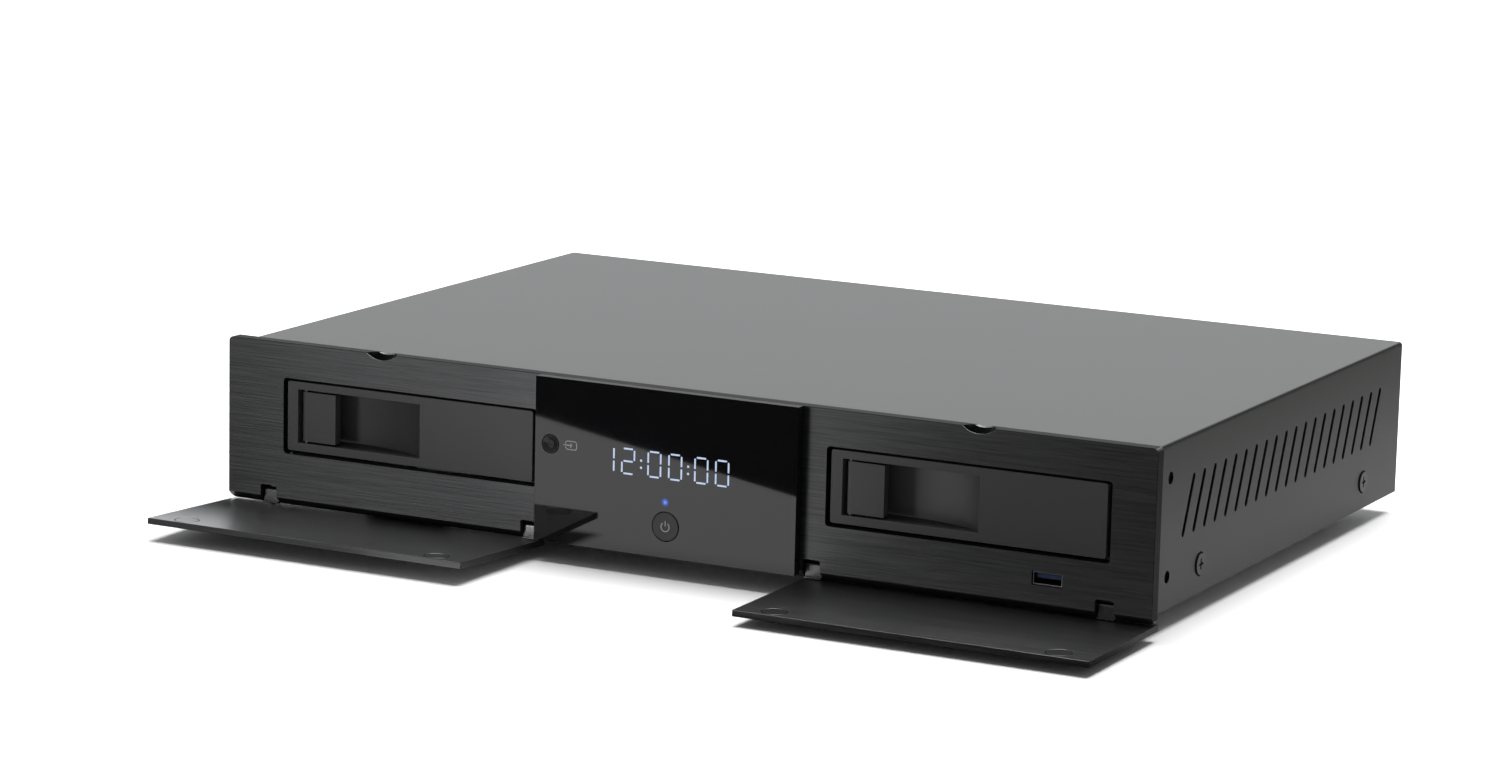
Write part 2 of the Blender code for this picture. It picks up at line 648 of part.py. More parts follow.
def door(side):
    """A drop-down door with its two hinge clips and its two magnets, all on one empty at the pins."""
    sign = -1 if side == "left" else 1
    outer, inner = sign * HALF_PLATE, sign * DOOR_INNER_EDGE
    top = DOOR_TOP
    leaf = block(side + "_door", (min(outer, inner), FRONT - DOOR_REACH, top - DOOR_THICKNESS),
                 (max(outer, inner), FRONT + DOOR_BACK, top))
    pieces = [brushed(leaf)]
    for end, place in clip_places(side).items():
        cut(leaf, rod("stud_cut", 2, (place, PIN_PLACE), STUD_RADIUS + GAP, top - STUD_DEPTH - GAP,
                      top + OVERRUN))
        pieces.append(hinge_clip(side + "_door_" + end + "_clip", place))
    for end, place in (("outer", outer - sign * MAGNET_END), ("inner", inner + sign * MAGNET_END)):
        spot_on_door = (place, FRONT - DOOR_REACH + MAGNET_EDGE)
        cut(leaf, rod("magnet_cut", 2, spot_on_door, MAGNET_RADIUS + GAP, top - MAGNET_THICKNESS - GAP,
                      top + OVERRUN, MIDDLE_SIDES))
        pieces.append(steel(rod(side + "_door_" + end + "_magnet", 2, spot_on_door, MAGNET_RADIUS,
                                top - MAGNET_THICKNESS, top, MIDDLE_SIDES)))
    carry(carrier(side + "_door_axis", (0, PIN_PLACE, HINGE_LEVEL), DOOR_TILTS[side]), *pieces)


def hinge_clip(name, place):
    """A bent clip: a knuckle round the pin, a leg, a foot on the door and a stud in it."""
    half = CLIP_WIDTH / 2
    foot = DOOR_TOP + GAP
    outline = arc((PIN_PLACE, HINGE_LEVEL), CLIP_KNUCKLE, 0, 180, SMALL_SIDES // 2)
    outline += [
        (PIN_PLACE - CLIP_KNUCKLE, foot + CLIP_FOOT_THICKNESS),
        (PIN_PLACE - CLIP_FOOT, foot + CLIP_FOOT_THICKNESS),
        (PIN_PLACE - CLIP_FOOT, foot),
        (PIN_PLACE + CLIP_KNUCKLE, foot),
    ]
    clip = prism(name, outline, 0, place - half, place + half, smooth=True)
    weld(clip, rod("stud", 2, (place, PIN_PLACE), STUD_RADIUS, DOOR_TOP - STUD_DEPTH,
                   foot + CLIP_FOOT_THICKNESS))
    cut(clip, rod("pin_cut", 0, (PIN_PLACE, HINGE_LEVEL), HINGE_PIN_RADIUS + GAP, place - half - OVERRUN,
                  place + half + OVERRUN))
    return steel(clip)


def hinge_pins():
    """One pin for each clip, held at both ends in the front plate."""
    for (side, end), place in all_clips().items():
        half = CLIP_WIDTH / 2 + HINGE_PIN_SEAT
        steel(rod(side + "_door_" + end + "_pin", 0, (PIN_PLACE, HINGE_LEVEL), HINGE_PIN_RADIUS,
                  place - half, place + half))


def rack_cage(side):
    """A folded sheet tube in which the tray runs, open in front and behind."""
    middle = BAY_MIDDLES[side]
    cage = block(side + "_rack_cage", (middle - HALF_CAGE, CAGE_FRONT, CAGE_BOTTOM),
                 (middle + HALF_CAGE, CAGE_REAR, CAGE_TOP))
    half = HALF_CAGE - CAGE_WALL
    cut(cage, block("tray_cut", (middle - half, CAGE_FRONT - OVERRUN, CAGE_BOTTOM + CAGE_WALL),
                    (middle + half, CAGE_REAR + OVERRUN, CAGE_TOP - CAGE_WALL)))
    half = DRIVE_WIDTH / 2 - RAIL_WIDTH
    start = CAGE_FRONT + ISOLATOR_END + RAIL_WIDTH * 2
    cut(cage, block("air_cut", (middle - half, start, CAGE_TOP - CAGE_WALL * 2),
                    (middle + half, CAGE_REAR - ISOLATOR_END, CAGE_TOP + OVERRUN)))
    return black_sheet(cage)


def isolator_places(side):
    """The four rubber mounts under a cage, by name."""
    middle = BAY_MIDDLES[side]
    spread = HALF_CAGE - ISOLATOR_INSET
    return {
        "front_left": (middle - spread, CAGE_FRONT + ISOLATOR_END),
        "front_right": (middle + spread, CAGE_FRONT + ISOLATOR_END),
        "rear_left": (middle - spread, CAGE_REAR - ISOLATOR_END),
        "rear_right": (middle + spread, CAGE_REAR - ISOLATOR_END),
    }


def isolators(side):
    """Waisted rubber mounts between the base's stands and the cage, turned on their own axes."""
    for name, (place, depth) in isolator_places(side).items():
        waist = ISOLATOR_HEIGHT / 4
        profile = [
            (0, ISOLATOR_TOP),
            (ISOLATOR_RADIUS, ISOLATOR_TOP),
            (ISOLATOR_RADIUS, ISOLATOR_TOP - waist),
            (ISOLATOR_WAIST, (ISOLATOR_TOP + ISOLATOR_BOTTOM) / 2),
            (ISOLATOR_RADIUS, ISOLATOR_BOTTOM + waist),
            (ISOLATOR_RADIUS, ISOLATOR_BOTTOM),
            (0, ISOLATOR_BOTTOM),
        ]
        rubber(turned_piece(side + "_isolator_" + name, (place, depth), profile))


def turned_piece(name, middle, profile, sides=SMALL_SIDES):
    """A profile of radius and height, from the axis out and back to it, spun about a vertical axis."""
    bm = bmesh.new()
    points = [bm.verts.new((middle[0] + radius, middle[1], height)) for radius, height in profile]
    edges = [bm.edges.new(pair) for pair in zip(points, points[1:])]
    bmesh.ops.spin(bm, geom=points + edges, cent=(middle[0], middle[1], 0), axis=(0, 0, 1),
                   angle=math.tau, steps=sides, use_merge=True)
    bmesh.ops.remove_doubles(bm, verts=bm.verts, dist=GAP / 10)
    bmesh.ops.recalc_face_normals(bm, faces=bm.faces)
    obj = mesh_object(name, bm)
    obj.data.shade_smooth()
    obj.data.set_sharp_from_angle(angle=math.radians(40))
    return obj


def window_box(side):
    """The tray window's left, right, bottom and top."""
    left = BAY_MIDDLES[side] - HALF_TRAY + WINDOW_START
    bottom = TRAY_BOTTOM + WINDOW_BOTTOM
    return left, left + WINDOW_WIDTH, bottom, bottom + WINDOW_HEIGHT


def lever_axis(side):
    """Where the lever's upright pin stands, along X and Y."""
    left = window_box(side)[0] + LEVER_SIDE_GAP
    return left + LEVER_BARREL, TRAY_FRONT + LEVER_SET_BACK + LEVER_BARREL


def tray(side):
    """A hard drive tray: a deep bezel with a scooped window, two rails and a floor behind it."""
    middle = BAY_MIDDLES[side]
    left, right, bottom, top = window_box(side)
    low = (middle - HALF_TRAY, TRAY_BOTTOM)
    high = (middle + HALF_TRAY, TRAY_BOTTOM + TRAY_HEIGHT)
    bezel = prism(side + "_tray", rounded(low, high, TRAY_CORNER), 1, TRAY_FRONT, TRAY_FRONT + BEZEL_DEPTH)
    half_drive = DRIVE_WIDTH / 2
    half_body = half_drive + RAIL_WIDTH
    inside_bezel = TRAY_FRONT + BEZEL_DEPTH / 2 + POCKET_DEPTH / 2
    body = block("body", (middle - half_body, inside_bezel, TRAY_BOTTOM),
                 (middle + half_body, TRAY_REAR, TRAY_BOTTOM + RAIL_HEIGHT))
    weld(bezel, body)
    cut(bezel, block("drive_cut", (middle - half_drive, TRAY_FRONT + BEZEL_DEPTH, TRAY_BOTTOM + TRAY_FLOOR),
                     (middle + half_drive, TRAY_REAR + OVERRUN, TRAY_BOTTOM + TRAY_HEIGHT)))
    scoop = left + SCOOP_START
    deep = TRAY_FRONT + POCKET_DEPTH
    wide = (right - scoop) / math.sin(SCOOP_TURN)
    rise = (POCKET_DEPTH - SCOOP_EDGE) / (1 - math.cos(SCOOP_TURN))
    pocket = [(left, TRAY_FRONT - OVERRUN), (left, deep)]
    for step in range(SCOOP_STEPS + 1):
        turn = SCOOP_TURN * step / SCOOP_STEPS
        pocket.append((scoop + wide * math.sin(turn), deep - rise * (1 - math.cos(turn))))
    pocket.append((right, TRAY_FRONT - OVERRUN))
    cut(bezel, prism("pocket_cut", pocket, 2, bottom, top, smooth=True))
    cut(bezel, rod("pin_cut", 2, lever_axis(side), LEVER_PIN_RADIUS + GAP, bottom - LEVER_PIN_SEAT,
                   top + LEVER_PIN_SEAT))
    for end in (TRAY_FRONT + BEZEL_DEPTH * 2, TRAY_REAR - BEZEL_DEPTH - RAIL_SLOT_LENGTH):
        low = TRAY_BOTTOM + RAIL_HEIGHT / 2 - RAIL_SLOT_HEIGHT / 2
        cut(bezel, block("rail_cut", (middle - half_body - OVERRUN, end, low),
                         (middle + half_body + OVERRUN, end + RAIL_SLOT_LENGTH, low + RAIL_SLOT_HEIGHT)))
    seat = LEVER_PIN_SEAT - GAP
    pin = steel(rod(side + "_lever_pin", 2, lever_axis(side), LEVER_PIN_RADIUS, bottom - seat, top + seat))
    carry(carrier(side + "_tray_axis", (middle, TRAY_FRONT, TRAY_BOTTOM)), black_plastic(bezel), pin)


def tray_lever(side):
    """The flap at the left end of the window, with a barrel round its pin and a grip along its free edge."""
    bottom, top = window_box(side)[2:]
    place, depth = lever_axis(side)
    end = place - LEVER_BARREL + LEVER_WIDTH
    front = depth - LEVER_BARREL
    low = (bottom + top - LEVER_HEIGHT) / 2
    outline = arc((place, depth), LEVER_BARREL, 90, 270, SMALL_SIDES // 2)
    outline += [
        (end, front),
        (end, front + LEVER_THICKNESS + LEVER_GRIP),
        (end - LEVER_GRIP, front + LEVER_THICKNESS + LEVER_GRIP),
        (end - LEVER_GRIP - LEVER_GRIP, front + LEVER_THICKNESS),
        (place + LEVER_BARREL, front + LEVER_THICKNESS),
    ]
    lever = prism(side + "_tray_lever", outline, 2, low, low + LEVER_HEIGHT, smooth=True)
    cut(lever, rod("pin_cut", 2, (place, depth), LEVER_PIN_RADIUS + GAP, low - OVERRUN,
                   low + LEVER_HEIGHT + OVERRUN))
    carry(carrier(side + "_tray_lever_axis", (place, depth, low)), lever)
    return black_plastic(lever)


def backplane(side):
    """The board that closes a cage behind, with the drive plug on its front."""
    middle = BAY_MIDDLES[side]
    front = CAGE_REAR + GAP
    board = block(side + "_backplane", (middle - HALF_CAGE, front, CAGE_BOTTOM),
                  (middle + HALF_CAGE, front + BOARD_THICKNESS, CAGE_TOP))
    width, depth, height = DRIVE_PLUG_SIZE
    start = middle - DRIVE_PLUG_OFFSET - width / 2
    bottom = TRAY_BOTTOM + DRIVE_PLUG_RISE
    weld(board, block("plug", (start, front - depth, bottom),
                      (start + width, front + BOARD_THICKNESS / 2, bottom + height)))
    return circuit_board(board)


def stands():
    """Every post of the base: where it stands, how thick it is and how high it reaches."""
    posts = []
    for side in BAY_MIDDLES:
        posts += [(spot_below, ISOLATOR_RADIUS, ISOLATOR_BOTTOM - GAP)
                  for spot_below in isolator_places(side).values()]
    for middle, start, width, length in (POWER_BOARD, MAIN_BOARD):
        for place in (middle - width / 2 + POST_INSET, middle + width / 2 - POST_INSET):
            for depth in (start + POST_INSET, start + length - POST_INSET):
                posts.append(((place, depth), STAND_RADIUS, BOARD_BOTTOM - GAP))
    posts.append(((FRONT_USB_PLACE, BASE_FRONT + SHEET + FRONT_USB_BOARD[1] / 2),
                  FRONT_USB_STAND_RADIUS, FRONT_USB_BOTTOM - BOARD_THICKNESS - GAP))
    return posts


def base():
    """The folded base: floor, front wall, low side flanges and the stands for all that it carries."""
    wall_top = CASE_TOP - SHEET - GAP
    shell = block("base", (-HALF_BASE, BASE_FRONT, GROUND_CLEARANCE), (HALF_BASE, BASE_REAR, wall_top))
    half = HALF_BASE - SHEET
    cut(shell, block("inside_cut", (-half, BASE_FRONT + SHEET, FLOOR_TOP),
                     (half, BASE_REAR + OVERRUN, wall_top + OVERRUN)))
    far = HALF_BASE + OVERRUN
    cut(shell, block("flange_cut", (-far, BASE_FRONT + SHEET, GROUND_CLEARANCE + FLANGE_HEIGHT),
                     (far, BASE_REAR + OVERRUN, wall_top + OVERRUN)))
    cut(shell, block("rear_cut", (-far, REAR_PANEL_FRONT - GAP, FLOOR_TOP),
                     (far, BASE_REAR + OVERRUN, wall_top)))
    for place, radius, top in stands():
        weld(shell, rod("stand", 2, place, radius, GROUND_CLEARANCE + SHEET / 2, top))
    for middle in BAY_MIDDLES.values():
        half = HALF_CAGE + CAGE_PLAY
        cut(shell, block("bay_cut", (middle - half, BASE_FRONT - OVERRUN, CAGE_BOTTOM - CAGE_PLAY),
                         (middle + half, BASE_FRONT + SHEET + OVERRUN, CAGE_TOP + CAGE_PLAY)))
    half = CENTRE_OPENING_WIDTH / 2
    cut(shell, block("centre_cut", (-half, BASE_FRONT - OVERRUN, FLOOR_TOP + CENTRE_OPENING_BOTTOM),
                     (half, BASE_FRONT + SHEET + OVERRUN, wall_top - CENTRE_OPENING_BOTTOM)))
    half = USB_SIZE[0] / 2 + CAGE_PLAY
    low = FRONT_USB_BOTTOM - BOARD_THICKNESS - CAGE_PLAY
    high = FRONT_USB_BOTTOM + USB_SIZE[2] + CAGE_PLAY
    cut(shell, block("usb_cut", (FRONT_USB_PLACE - half, BASE_FRONT - OVERRUN, low),
                     (FRONT_USB_PLACE + half, BASE_FRONT + SHEET + OVERRUN, high)))
    for place in SCREW_PLACES:
        cut(shell, rod("screw_cut", 0, (FRONT + place, SCREW_LEVEL), SCREW_RADIUS + GAP, -far, far))
    ear = (FRONT + SIDE_HOLE_START, SIDE_HOLE_LEVELS[0])
    cut(shell, rod("ear_cut", 0, ear, SIDE_HOLE_RADIUS, -far, far))
    for place in FOOT_PLACES.values():
        cut(shell, rod("foot_cut", 2, place, FOOT_STEM_RADIUS + GAP, GROUND_CLEARANCE - OVERRUN,
                       FLOOR_TOP + OVERRUN))
    return zinc(shell)


def slot_outline(start):
    """A leaning slot with round ends, in Y and Z."""
    radius = SLOT_WIDTH / 2
    lower = (start, SLOT_BOTTOM)
    upper = (start + SLOT_LEAN, SLOT_TOP)
    lean = math.degrees(math.atan2(upper[1] - lower[1], upper[0] - lower[0]))
    return (arc(upper, radius, lean - 90, lean + 90, CORNER_STEPS)
            + arc(lower, radius, lean + 90, lean + 270, CORNER_STEPS))


def lid():
    """The folded lid, bent along both top edges, with slots, ear holes and screw holes in its sides."""
    inner, outer = HALF_CASE - SHEET, HALF_CASE
    bend, low = LID_BEND, GROUND_CLEARANCE
    outline = [(-outer, low)]
    outline += arc((bend - outer, CASE_TOP - bend), bend, 180, 90, CORNER_STEPS)
    outline += arc((outer - bend, CASE_TOP - bend), bend, 90, 0, CORNER_STEPS)
    outline += [(outer, low), (inner, low), (inner, CASE_TOP - SHEET)]
    outline += [(-inner, CASE_TOP - SHEET), (-inner, low)]
    cover = prism("lid", outline, 1, BASE_FRONT, LID_REAR)
    far = HALF_CASE + OVERRUN
    for slot in range(SLOT_COUNT):
        start = FRONT + SLOT_START - SLOT_LEAN / 2 + SLOT_PITCH * slot
        cut(cover, prism("slot_cut", slot_outline(start), 0, -far, far))
    for level in SIDE_HOLE_LEVELS:
        ear = (FRONT + SIDE_HOLE_START, level)
        cut(cover, rod("ear_cut", 0, ear, SIDE_HOLE_RADIUS, -far, far, MIDDLE_SIDES))
    for place in SCREW_PLACES:
        centre = (FRONT + place, SCREW_LEVEL)
        cut(cover, rod("screw_cut", 0, centre, SCREW_RADIUS + GAP, -far, far))
        for start, end in ((HALF_CASE - SCREW_RECESS, far), (-far, SCREW_RECESS - HALF_CASE)):
            cut(cover, rod("recess_cut", 0, centre, SCREW_HEAD_RADIUS + GAP * 2, start, end, MIDDLE_SIDES))
    return painted(cover)


def side_screw(name, sign, place):
    """A pan-headed screw with a cross slot, through the lid into the base's flange."""
    centre = (FRONT + place, SCREW_LEVEL)
    seat = HALF_CASE - SCREW_RECESS + GAP
    head_end = seat + SCREW_HEAD_HEIGHT
    head = rod(name, 0, centre, SCREW_HEAD_RADIUS, *sorted((sign * seat, sign * head_end)), MIDDLE_SIDES)
    weld(head, rod("shank", 0, centre, SCREW_RADIUS,
                   *sorted((sign * (head_end - SCREW_LENGTH), sign * (seat + SCREW_HEAD_HEIGHT / 4)))))
    arm = SCREW_HEAD_RADIUS / 2
    deep, far = sign * (head_end - SCREW_SLOT_DEPTH), sign * (head_end + OVERRUN)
    for wide, high in ((arm, SCREW_SLOT_WIDTH / 2), (SCREW_SLOT_WIDTH / 2, arm)):
        cut(head, block("cross_cut", (min(deep, far), centre[0] - wide, centre[1] - high),
                        (max(deep, far), centre[0] + wide, centre[1] + high)))
    return steel(head)


def rear_panel():
    """The flat panel that closes the case behind, cut out round each socket."""
    panel = block("rear_panel", (-HALF_BASE, REAR_PANEL_FRONT, FLOOR_TOP + GAP),
                  (HALF_BASE, BASE_REAR, CASE_TOP - SHEET - GAP))
    for place, bottom, width, height in SOCKET_FACES:
        half = width / 2 + GAP
        cut(panel, block("socket_cut", (place - half, REAR_PANEL_FRONT - OVERRUN, bottom - GAP),
                         (place + half, BASE_REAR + OVERRUN, bottom + height + GAP)))
    return painted(panel)


def power_supply():
    """The power board between the racks, with its transformer, its chokes and its two large capacitors."""
    middle, start, width, length = POWER_BOARD
    supply = block("power_supply_board", (middle - width / 2, start, BOARD_BOTTOM),
                   (middle + width / 2, start + length, BOARD_TOP))
    sunk = BOARD_BOTTOM + BOARD_THICKNESS / 2
    wide, deep, high = TRANSFORMER_SIZE
    centre = start + length / 2
    weld(supply, block("transformer", (middle - wide / 2, centre - deep / 2, sunk),
                       (middle + wide / 2, centre + deep / 2, BOARD_TOP + high)))
    wide, deep, high = CHOKE_SIZE
    for place in (middle - width / 4, middle + width / 4):
        weld(supply, block("choke", (place - wide / 2, start + POST_INSET * 2, sunk),
                           (place + wide / 2, start + POST_INSET * 2 + deep, BOARD_TOP + high)))
        weld(supply, rod("capacitor", 2, (place, start + length - POST_INSET * 2 - CAPACITOR_RADIUS),
                         CAPACITOR_RADIUS, sunk, BOARD_TOP + CAPACITOR_HEIGHT, MIDDLE_SIDES))
    return circuit_board(supply)


def main_board():
    """The main board in the rear of the case."""
    middle, start, width, length = MAIN_BOARD
    plain = block("main_board", (middle - width / 2, start, BOARD_BOTTOM),
                  (middle + width / 2, start + length, BOARD_TOP))
    return circuit_board(plain)


def heat_sink():
    """A finned block on the main board's processor, one outline pushed along Y."""
    wide, high = HEAT_SINK_WIDTH, HEAT_SINK_HEIGHT
    bottom = BOARD_TOP + GAP
    left = HEAT_SINK_PLACE - wide / 2
    pitch = (wide - HEAT_SINK_FIN) / (HEAT_SINK_FINS - 1)
    outline = [(left + wide, bottom), (left, bottom)]
    for fin in range(HEAT_SINK_FINS):
        edge = left + pitch * fin
        outline += [(edge, bottom + high), (edge + HEAT_SINK_FIN, bottom + high)]
        if fin < HEAT_SINK_FINS - 1:
            low = bottom + HEAT_SINK_BASE
            outline += [(edge + HEAT_SINK_FIN, low), (edge + pitch, low)]
    centre = MAIN_BOARD_FRONT + HEAT_SINK_ROOM / 2
    half = HEAT_SINK_ROOM * HEAT_SINK_SHARE / 2
    return aluminium(prism("heat_sink", outline, 1, centre - half, centre + half))


def foot(name, place):
    """A tapered round foot with a stem up through the base's floor."""
    top = GROUND_CLEARANCE - GAP
    profile = [
        (0, FLOOR_TOP + FOOT_STEM_HEIGHT),
        (FOOT_STEM_RADIUS, FLOOR_TOP + FOOT_STEM_HEIGHT),
        (FOOT_STEM_RADIUS, top),
        (FOOT_RADIUS, top),
        (FOOT_RADIUS, top / 2),
        (FOOT_RADIUS - FOOT_TAPER, 0),
        (0, 0),
    ]
    return rubber(turned_piece(name, place, profile, MIDDLE_SIDES))


def usb_shell(name, place, bottom, front, facing, height, shelves):
    """A metal USB shell with one tongue for each socket; facing is -1 for the front and 1 for the rear."""
    width, depth = USB_SIZE[:2]
    if shelves > 1:
        width = USB_PAIR_SIZE[0]
    back = front - facing * depth
    low, high = sorted((front, back))
    shell = block(name, (place - width / 2, low, bottom), (place + width / 2, high, bottom + height))
    bar = (height - USB_PAIR_BAR * (shelves - 1)) / shelves
    inner = USB_SIZE[0] / 2 - USB_WALL
    for shelf in range(shelves):
        floor = bottom + (bar + USB_PAIR_BAR) * shelf
        mouth, deep = front + facing * OVERRUN, back + facing * USB_TONGUE
        cut(shell, block("mouth_cut", (place - inner, min(mouth, deep), floor + USB_WALL),
                         (place + inner, max(mouth, deep), floor + bar - USB_WALL)))
        tip, root = front - facing * USB_TONGUE, back + facing * USB_TONGUE / 2
        tongue_top = floor + bar - USB_WALL - GAP * 2
        weld(shell, block("tongue", (place - inner + GAP * 2, min(tip, root), tongue_top - USB_TONGUE),
                          (place + inner - GAP * 2, max(tip, root), tongue_top)))
    return shell


def front_usb_socket():
    """The socket in the lower right of the plate, on a small board of its own."""
    socket = usb_shell("front_usb_socket", FRONT_USB_PLACE, FRONT_USB_BOTTOM, FRONT_USB_FRONT, -1,
                       USB_SIZE[2], 1)
    width, length = FRONT_USB_BOARD
    start = BASE_FRONT + SHEET + GAP
    weld(socket, block("board", (FRONT_USB_PLACE - width / 2, start, FRONT_USB_BOTTOM - BOARD_THICKNESS),
                       (FRONT_USB_PLACE + width / 2, start + length, FRONT_USB_BOTTOM + USB_WALL / 2)))
    return steel(socket)


def rear_sockets():
    """The row of sockets on the main board's rear edge, which pass through the rear panel."""
    rear = BASE_REAR + SOCKET_PROUD
    low = SOCKET_BOTTOM
    width, depth, height = NETWORK_SIZE
    network = block("network_socket", (NETWORK_PLACE - width / 2, rear - depth, low),
                    (NETWORK_PLACE + width / 2, rear, low + height))
    wide, deep, high = NETWORK_HOLE
    cut(network, block("plug_cut", (NETWORK_PLACE - wide / 2, rear - deep, low + NETWORK_HOLE_RISE),
                       (NETWORK_PLACE + wide / 2, rear + OVERRUN, low + NETWORK_HOLE_RISE + high)))
    steel(network)
    steel(usb_shell("usb_socket_pair", USB_PAIR_PLACE, low, rear, 1, USB_PAIR_SIZE[2], 2))
    video_socket(rear, low)
    width, depth, height = AUDIO_SIZE
    audio = block("audio_sockets", (AUDIO_PLACE - width / 2, rear - depth, low),
                  (AUDIO_PLACE + width / 2, rear, low + height))
    for place in (AUDIO_PLACE - AUDIO_PITCH / 2, AUDIO_PLACE + AUDIO_PITCH / 2):
        centre = (place, low + height / 2)
        weld(audio, rod("barrel", 1, centre, AUDIO_BARREL, rear - AUDIO_LENGTH / 2, BASE_REAR + AUDIO_LENGTH,
                        MIDDLE_SIDES))
        cut(audio, rod("bore_cut", 1, centre, AUDIO_BORE, rear - AUDIO_LENGTH,
                       rear + AUDIO_LENGTH + OVERRUN))
    black_plastic(audio)


def video_socket(rear, low):
    """The flat video socket: a shell with two cut lower corners and a tongue."""
    width, depth, height = VIDEO_SIZE

    def outline(inset):
        left, right = VIDEO_PLACE - width / 2 + inset, VIDEO_PLACE + width / 2 - inset
        bottom, top = low + inset, low + height - inset
        return [(left, top), (left, bottom + VIDEO_CHAMFER), (left + VIDEO_CHAMFER, bottom),
                (right - VIDEO_CHAMFER, bottom), (right, bottom + VIDEO_CHAMFER), (right, top)]

    shell = prism("video_socket", outline(0), 1, rear - depth, rear)
    cut(shell, prism("mouth_cut", outline(VIDEO_WALL), 1, rear - depth + VIDEO_TONGUE, rear + OVERRUN))
    bottom = low + height / 2 - VIDEO_TONGUE / 2
    half = width / 2 - VIDEO_CHAMFER - VIDEO_WALL
    weld(shell, block("tongue", (VIDEO_PLACE - half, rear - depth + VIDEO_TONGUE / 2, bottom),
                      (VIDEO_PLACE + half, rear - VIDEO_TONGUE, bottom + VIDEO_TONGUE)))
    return steel(shell)


def mains_inlet():
    """The mains inlet, let into the rear panel from outside, with its three pins."""
    width, depth, height = INLET_SIZE
    flange_wide, flange_deep, flange_high = INLET_FLANGE
    seat = BASE_REAR + GAP
    inlet = block("mains_inlet", (INLET_PLACE - flange_wide / 2, seat, INLET_LEVEL - flange_high / 2),
                  (INLET_PLACE + flange_wide / 2, seat + flange_deep, INLET_LEVEL + flange_high / 2))
    weld(inlet, block("body", (INLET_PLACE - width / 2, seat - depth, INLET_LEVEL - height / 2),
                      (INLET_PLACE + width / 2, seat + flange_deep / 2, INLET_LEVEL + height / 2)))
    wide, deep, high = INLET_HOLE
    mouth = seat + flange_deep
    cut(inlet, block("plug_cut", (INLET_PLACE - wide / 2, mouth - deep, INLET_LEVEL - high / 2),
                     (INLET_PLACE + wide / 2, mouth + OVERRUN, INLET_LEVEL + high / 2)))
    pin_wide, pin_long, pin_high = INLET_PIN
    for side, rise in ((-1, -INLET_PIN_RISE), (0, INLET_PIN_RISE), (1, -INLET_PIN_RISE)):
        middle = INLET_PLACE + INLET_PIN_SPREAD * side
        low = INLET_LEVEL + rise - pin_high / 2
        weld(inlet, block("pin", (middle - pin_wide / 2, mouth - deep - pin_wide / 2, low),
                          (middle + pin_wide / 2, mouth - deep + pin_long, low + pin_high)))
    return black_plastic(inlet)


front_plate()
display_window()
display_module()
control_board()
power_light()
for button_name in BUTTONS:
    button(button_name)
hinge_pins()
for rack in BAY_MIDDLES:
    door(rack)
    rack_cage(rack)
    isolators(rack)
    tray(rack)
    tray_lever(rack)
    backplane(rack)
base()
lid()
for screw_side, screw_sign in (("left", -1), ("right", 1)):
    for screw_end, screw_place in zip(("front", "rear"), SCREW_PLACES):
        side_screw(screw_side + "_side_screw_" + screw_end, screw_sign, screw_place)
rear_panel()
main_board()
heat_sink()
power_supply()
for foot_name, foot_place in FOOT_PLACES.items():
    foot(foot_name + "_foot", foot_place)
front_usb_socket()
rear_sockets()
mains_inlet()
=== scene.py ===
"""The looks of a full-width media player with two hard drive trays behind drop-down doors.

Metres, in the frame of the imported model. The front looks towards -Y.
"""

import math

import bpy
from mathutils import Matrix, Vector


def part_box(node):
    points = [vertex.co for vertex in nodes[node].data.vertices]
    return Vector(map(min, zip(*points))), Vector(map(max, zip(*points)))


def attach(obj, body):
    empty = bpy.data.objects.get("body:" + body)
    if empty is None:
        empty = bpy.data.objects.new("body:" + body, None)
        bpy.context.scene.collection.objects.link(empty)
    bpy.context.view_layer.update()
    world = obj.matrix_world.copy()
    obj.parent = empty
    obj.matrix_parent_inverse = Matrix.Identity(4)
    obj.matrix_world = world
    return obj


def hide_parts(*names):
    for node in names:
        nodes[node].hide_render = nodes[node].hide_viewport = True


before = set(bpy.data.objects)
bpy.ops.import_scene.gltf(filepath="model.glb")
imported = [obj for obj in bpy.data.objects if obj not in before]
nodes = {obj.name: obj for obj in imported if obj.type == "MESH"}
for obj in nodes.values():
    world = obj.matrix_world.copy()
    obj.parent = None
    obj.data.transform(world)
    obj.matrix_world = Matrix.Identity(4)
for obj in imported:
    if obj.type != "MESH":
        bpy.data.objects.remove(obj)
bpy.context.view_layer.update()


# Front plate: one thick aluminium plate, sawn and brushed along its length, then anodised dark.
# Its edges are broken, and its bays, hinge notches and finger notches are milled.
# The scoops of the finger notches are painted black as shade, all but a bare strip at the plate's back.
# Its top and its two ends are painted darker, as shade that takes out their highlights.
class Wire:
    """One socket of a material's nodes. A sum or product of wires adds its Math node."""

    def __init__(self, socket):
        self.socket = socket

    def math(self, operation, first, second=0.0):
        tree = self.socket.id_data
        node = tree.nodes.new("ShaderNodeMath")
        node.operation = operation
        for slot, value in zip(node.inputs, (first, second)):
            if isinstance(value, Wire):
                tree.links.new(value.socket, slot)
            else:
                slot.default_value = value
        return Wire(node.outputs[0])

    def __add__(self, other):
        return self.math("ADD", self, other)

    def __radd__(self, other):
        return self.math("ADD", other, self)

    def __sub__(self, other):
        return self.math("SUBTRACT", self, other)

    def __rsub__(self, other):
        return self.math("SUBTRACT", other, self)

    def __mul__(self, other):
        return self.math("MULTIPLY", self, other)

    def __rmul__(self, other):
        return self.math("MULTIPLY", other, self)

    def __gt__(self, other):
        return self.math("GREATER_THAN", self, other)

    def __lt__(self, other):
        return self.math("LESS_THAN", self, other)

    def __pow__(self, other):
        return self.math("POWER", self, other)

    def __abs__(self):
        return self.math("ABSOLUTE", self)


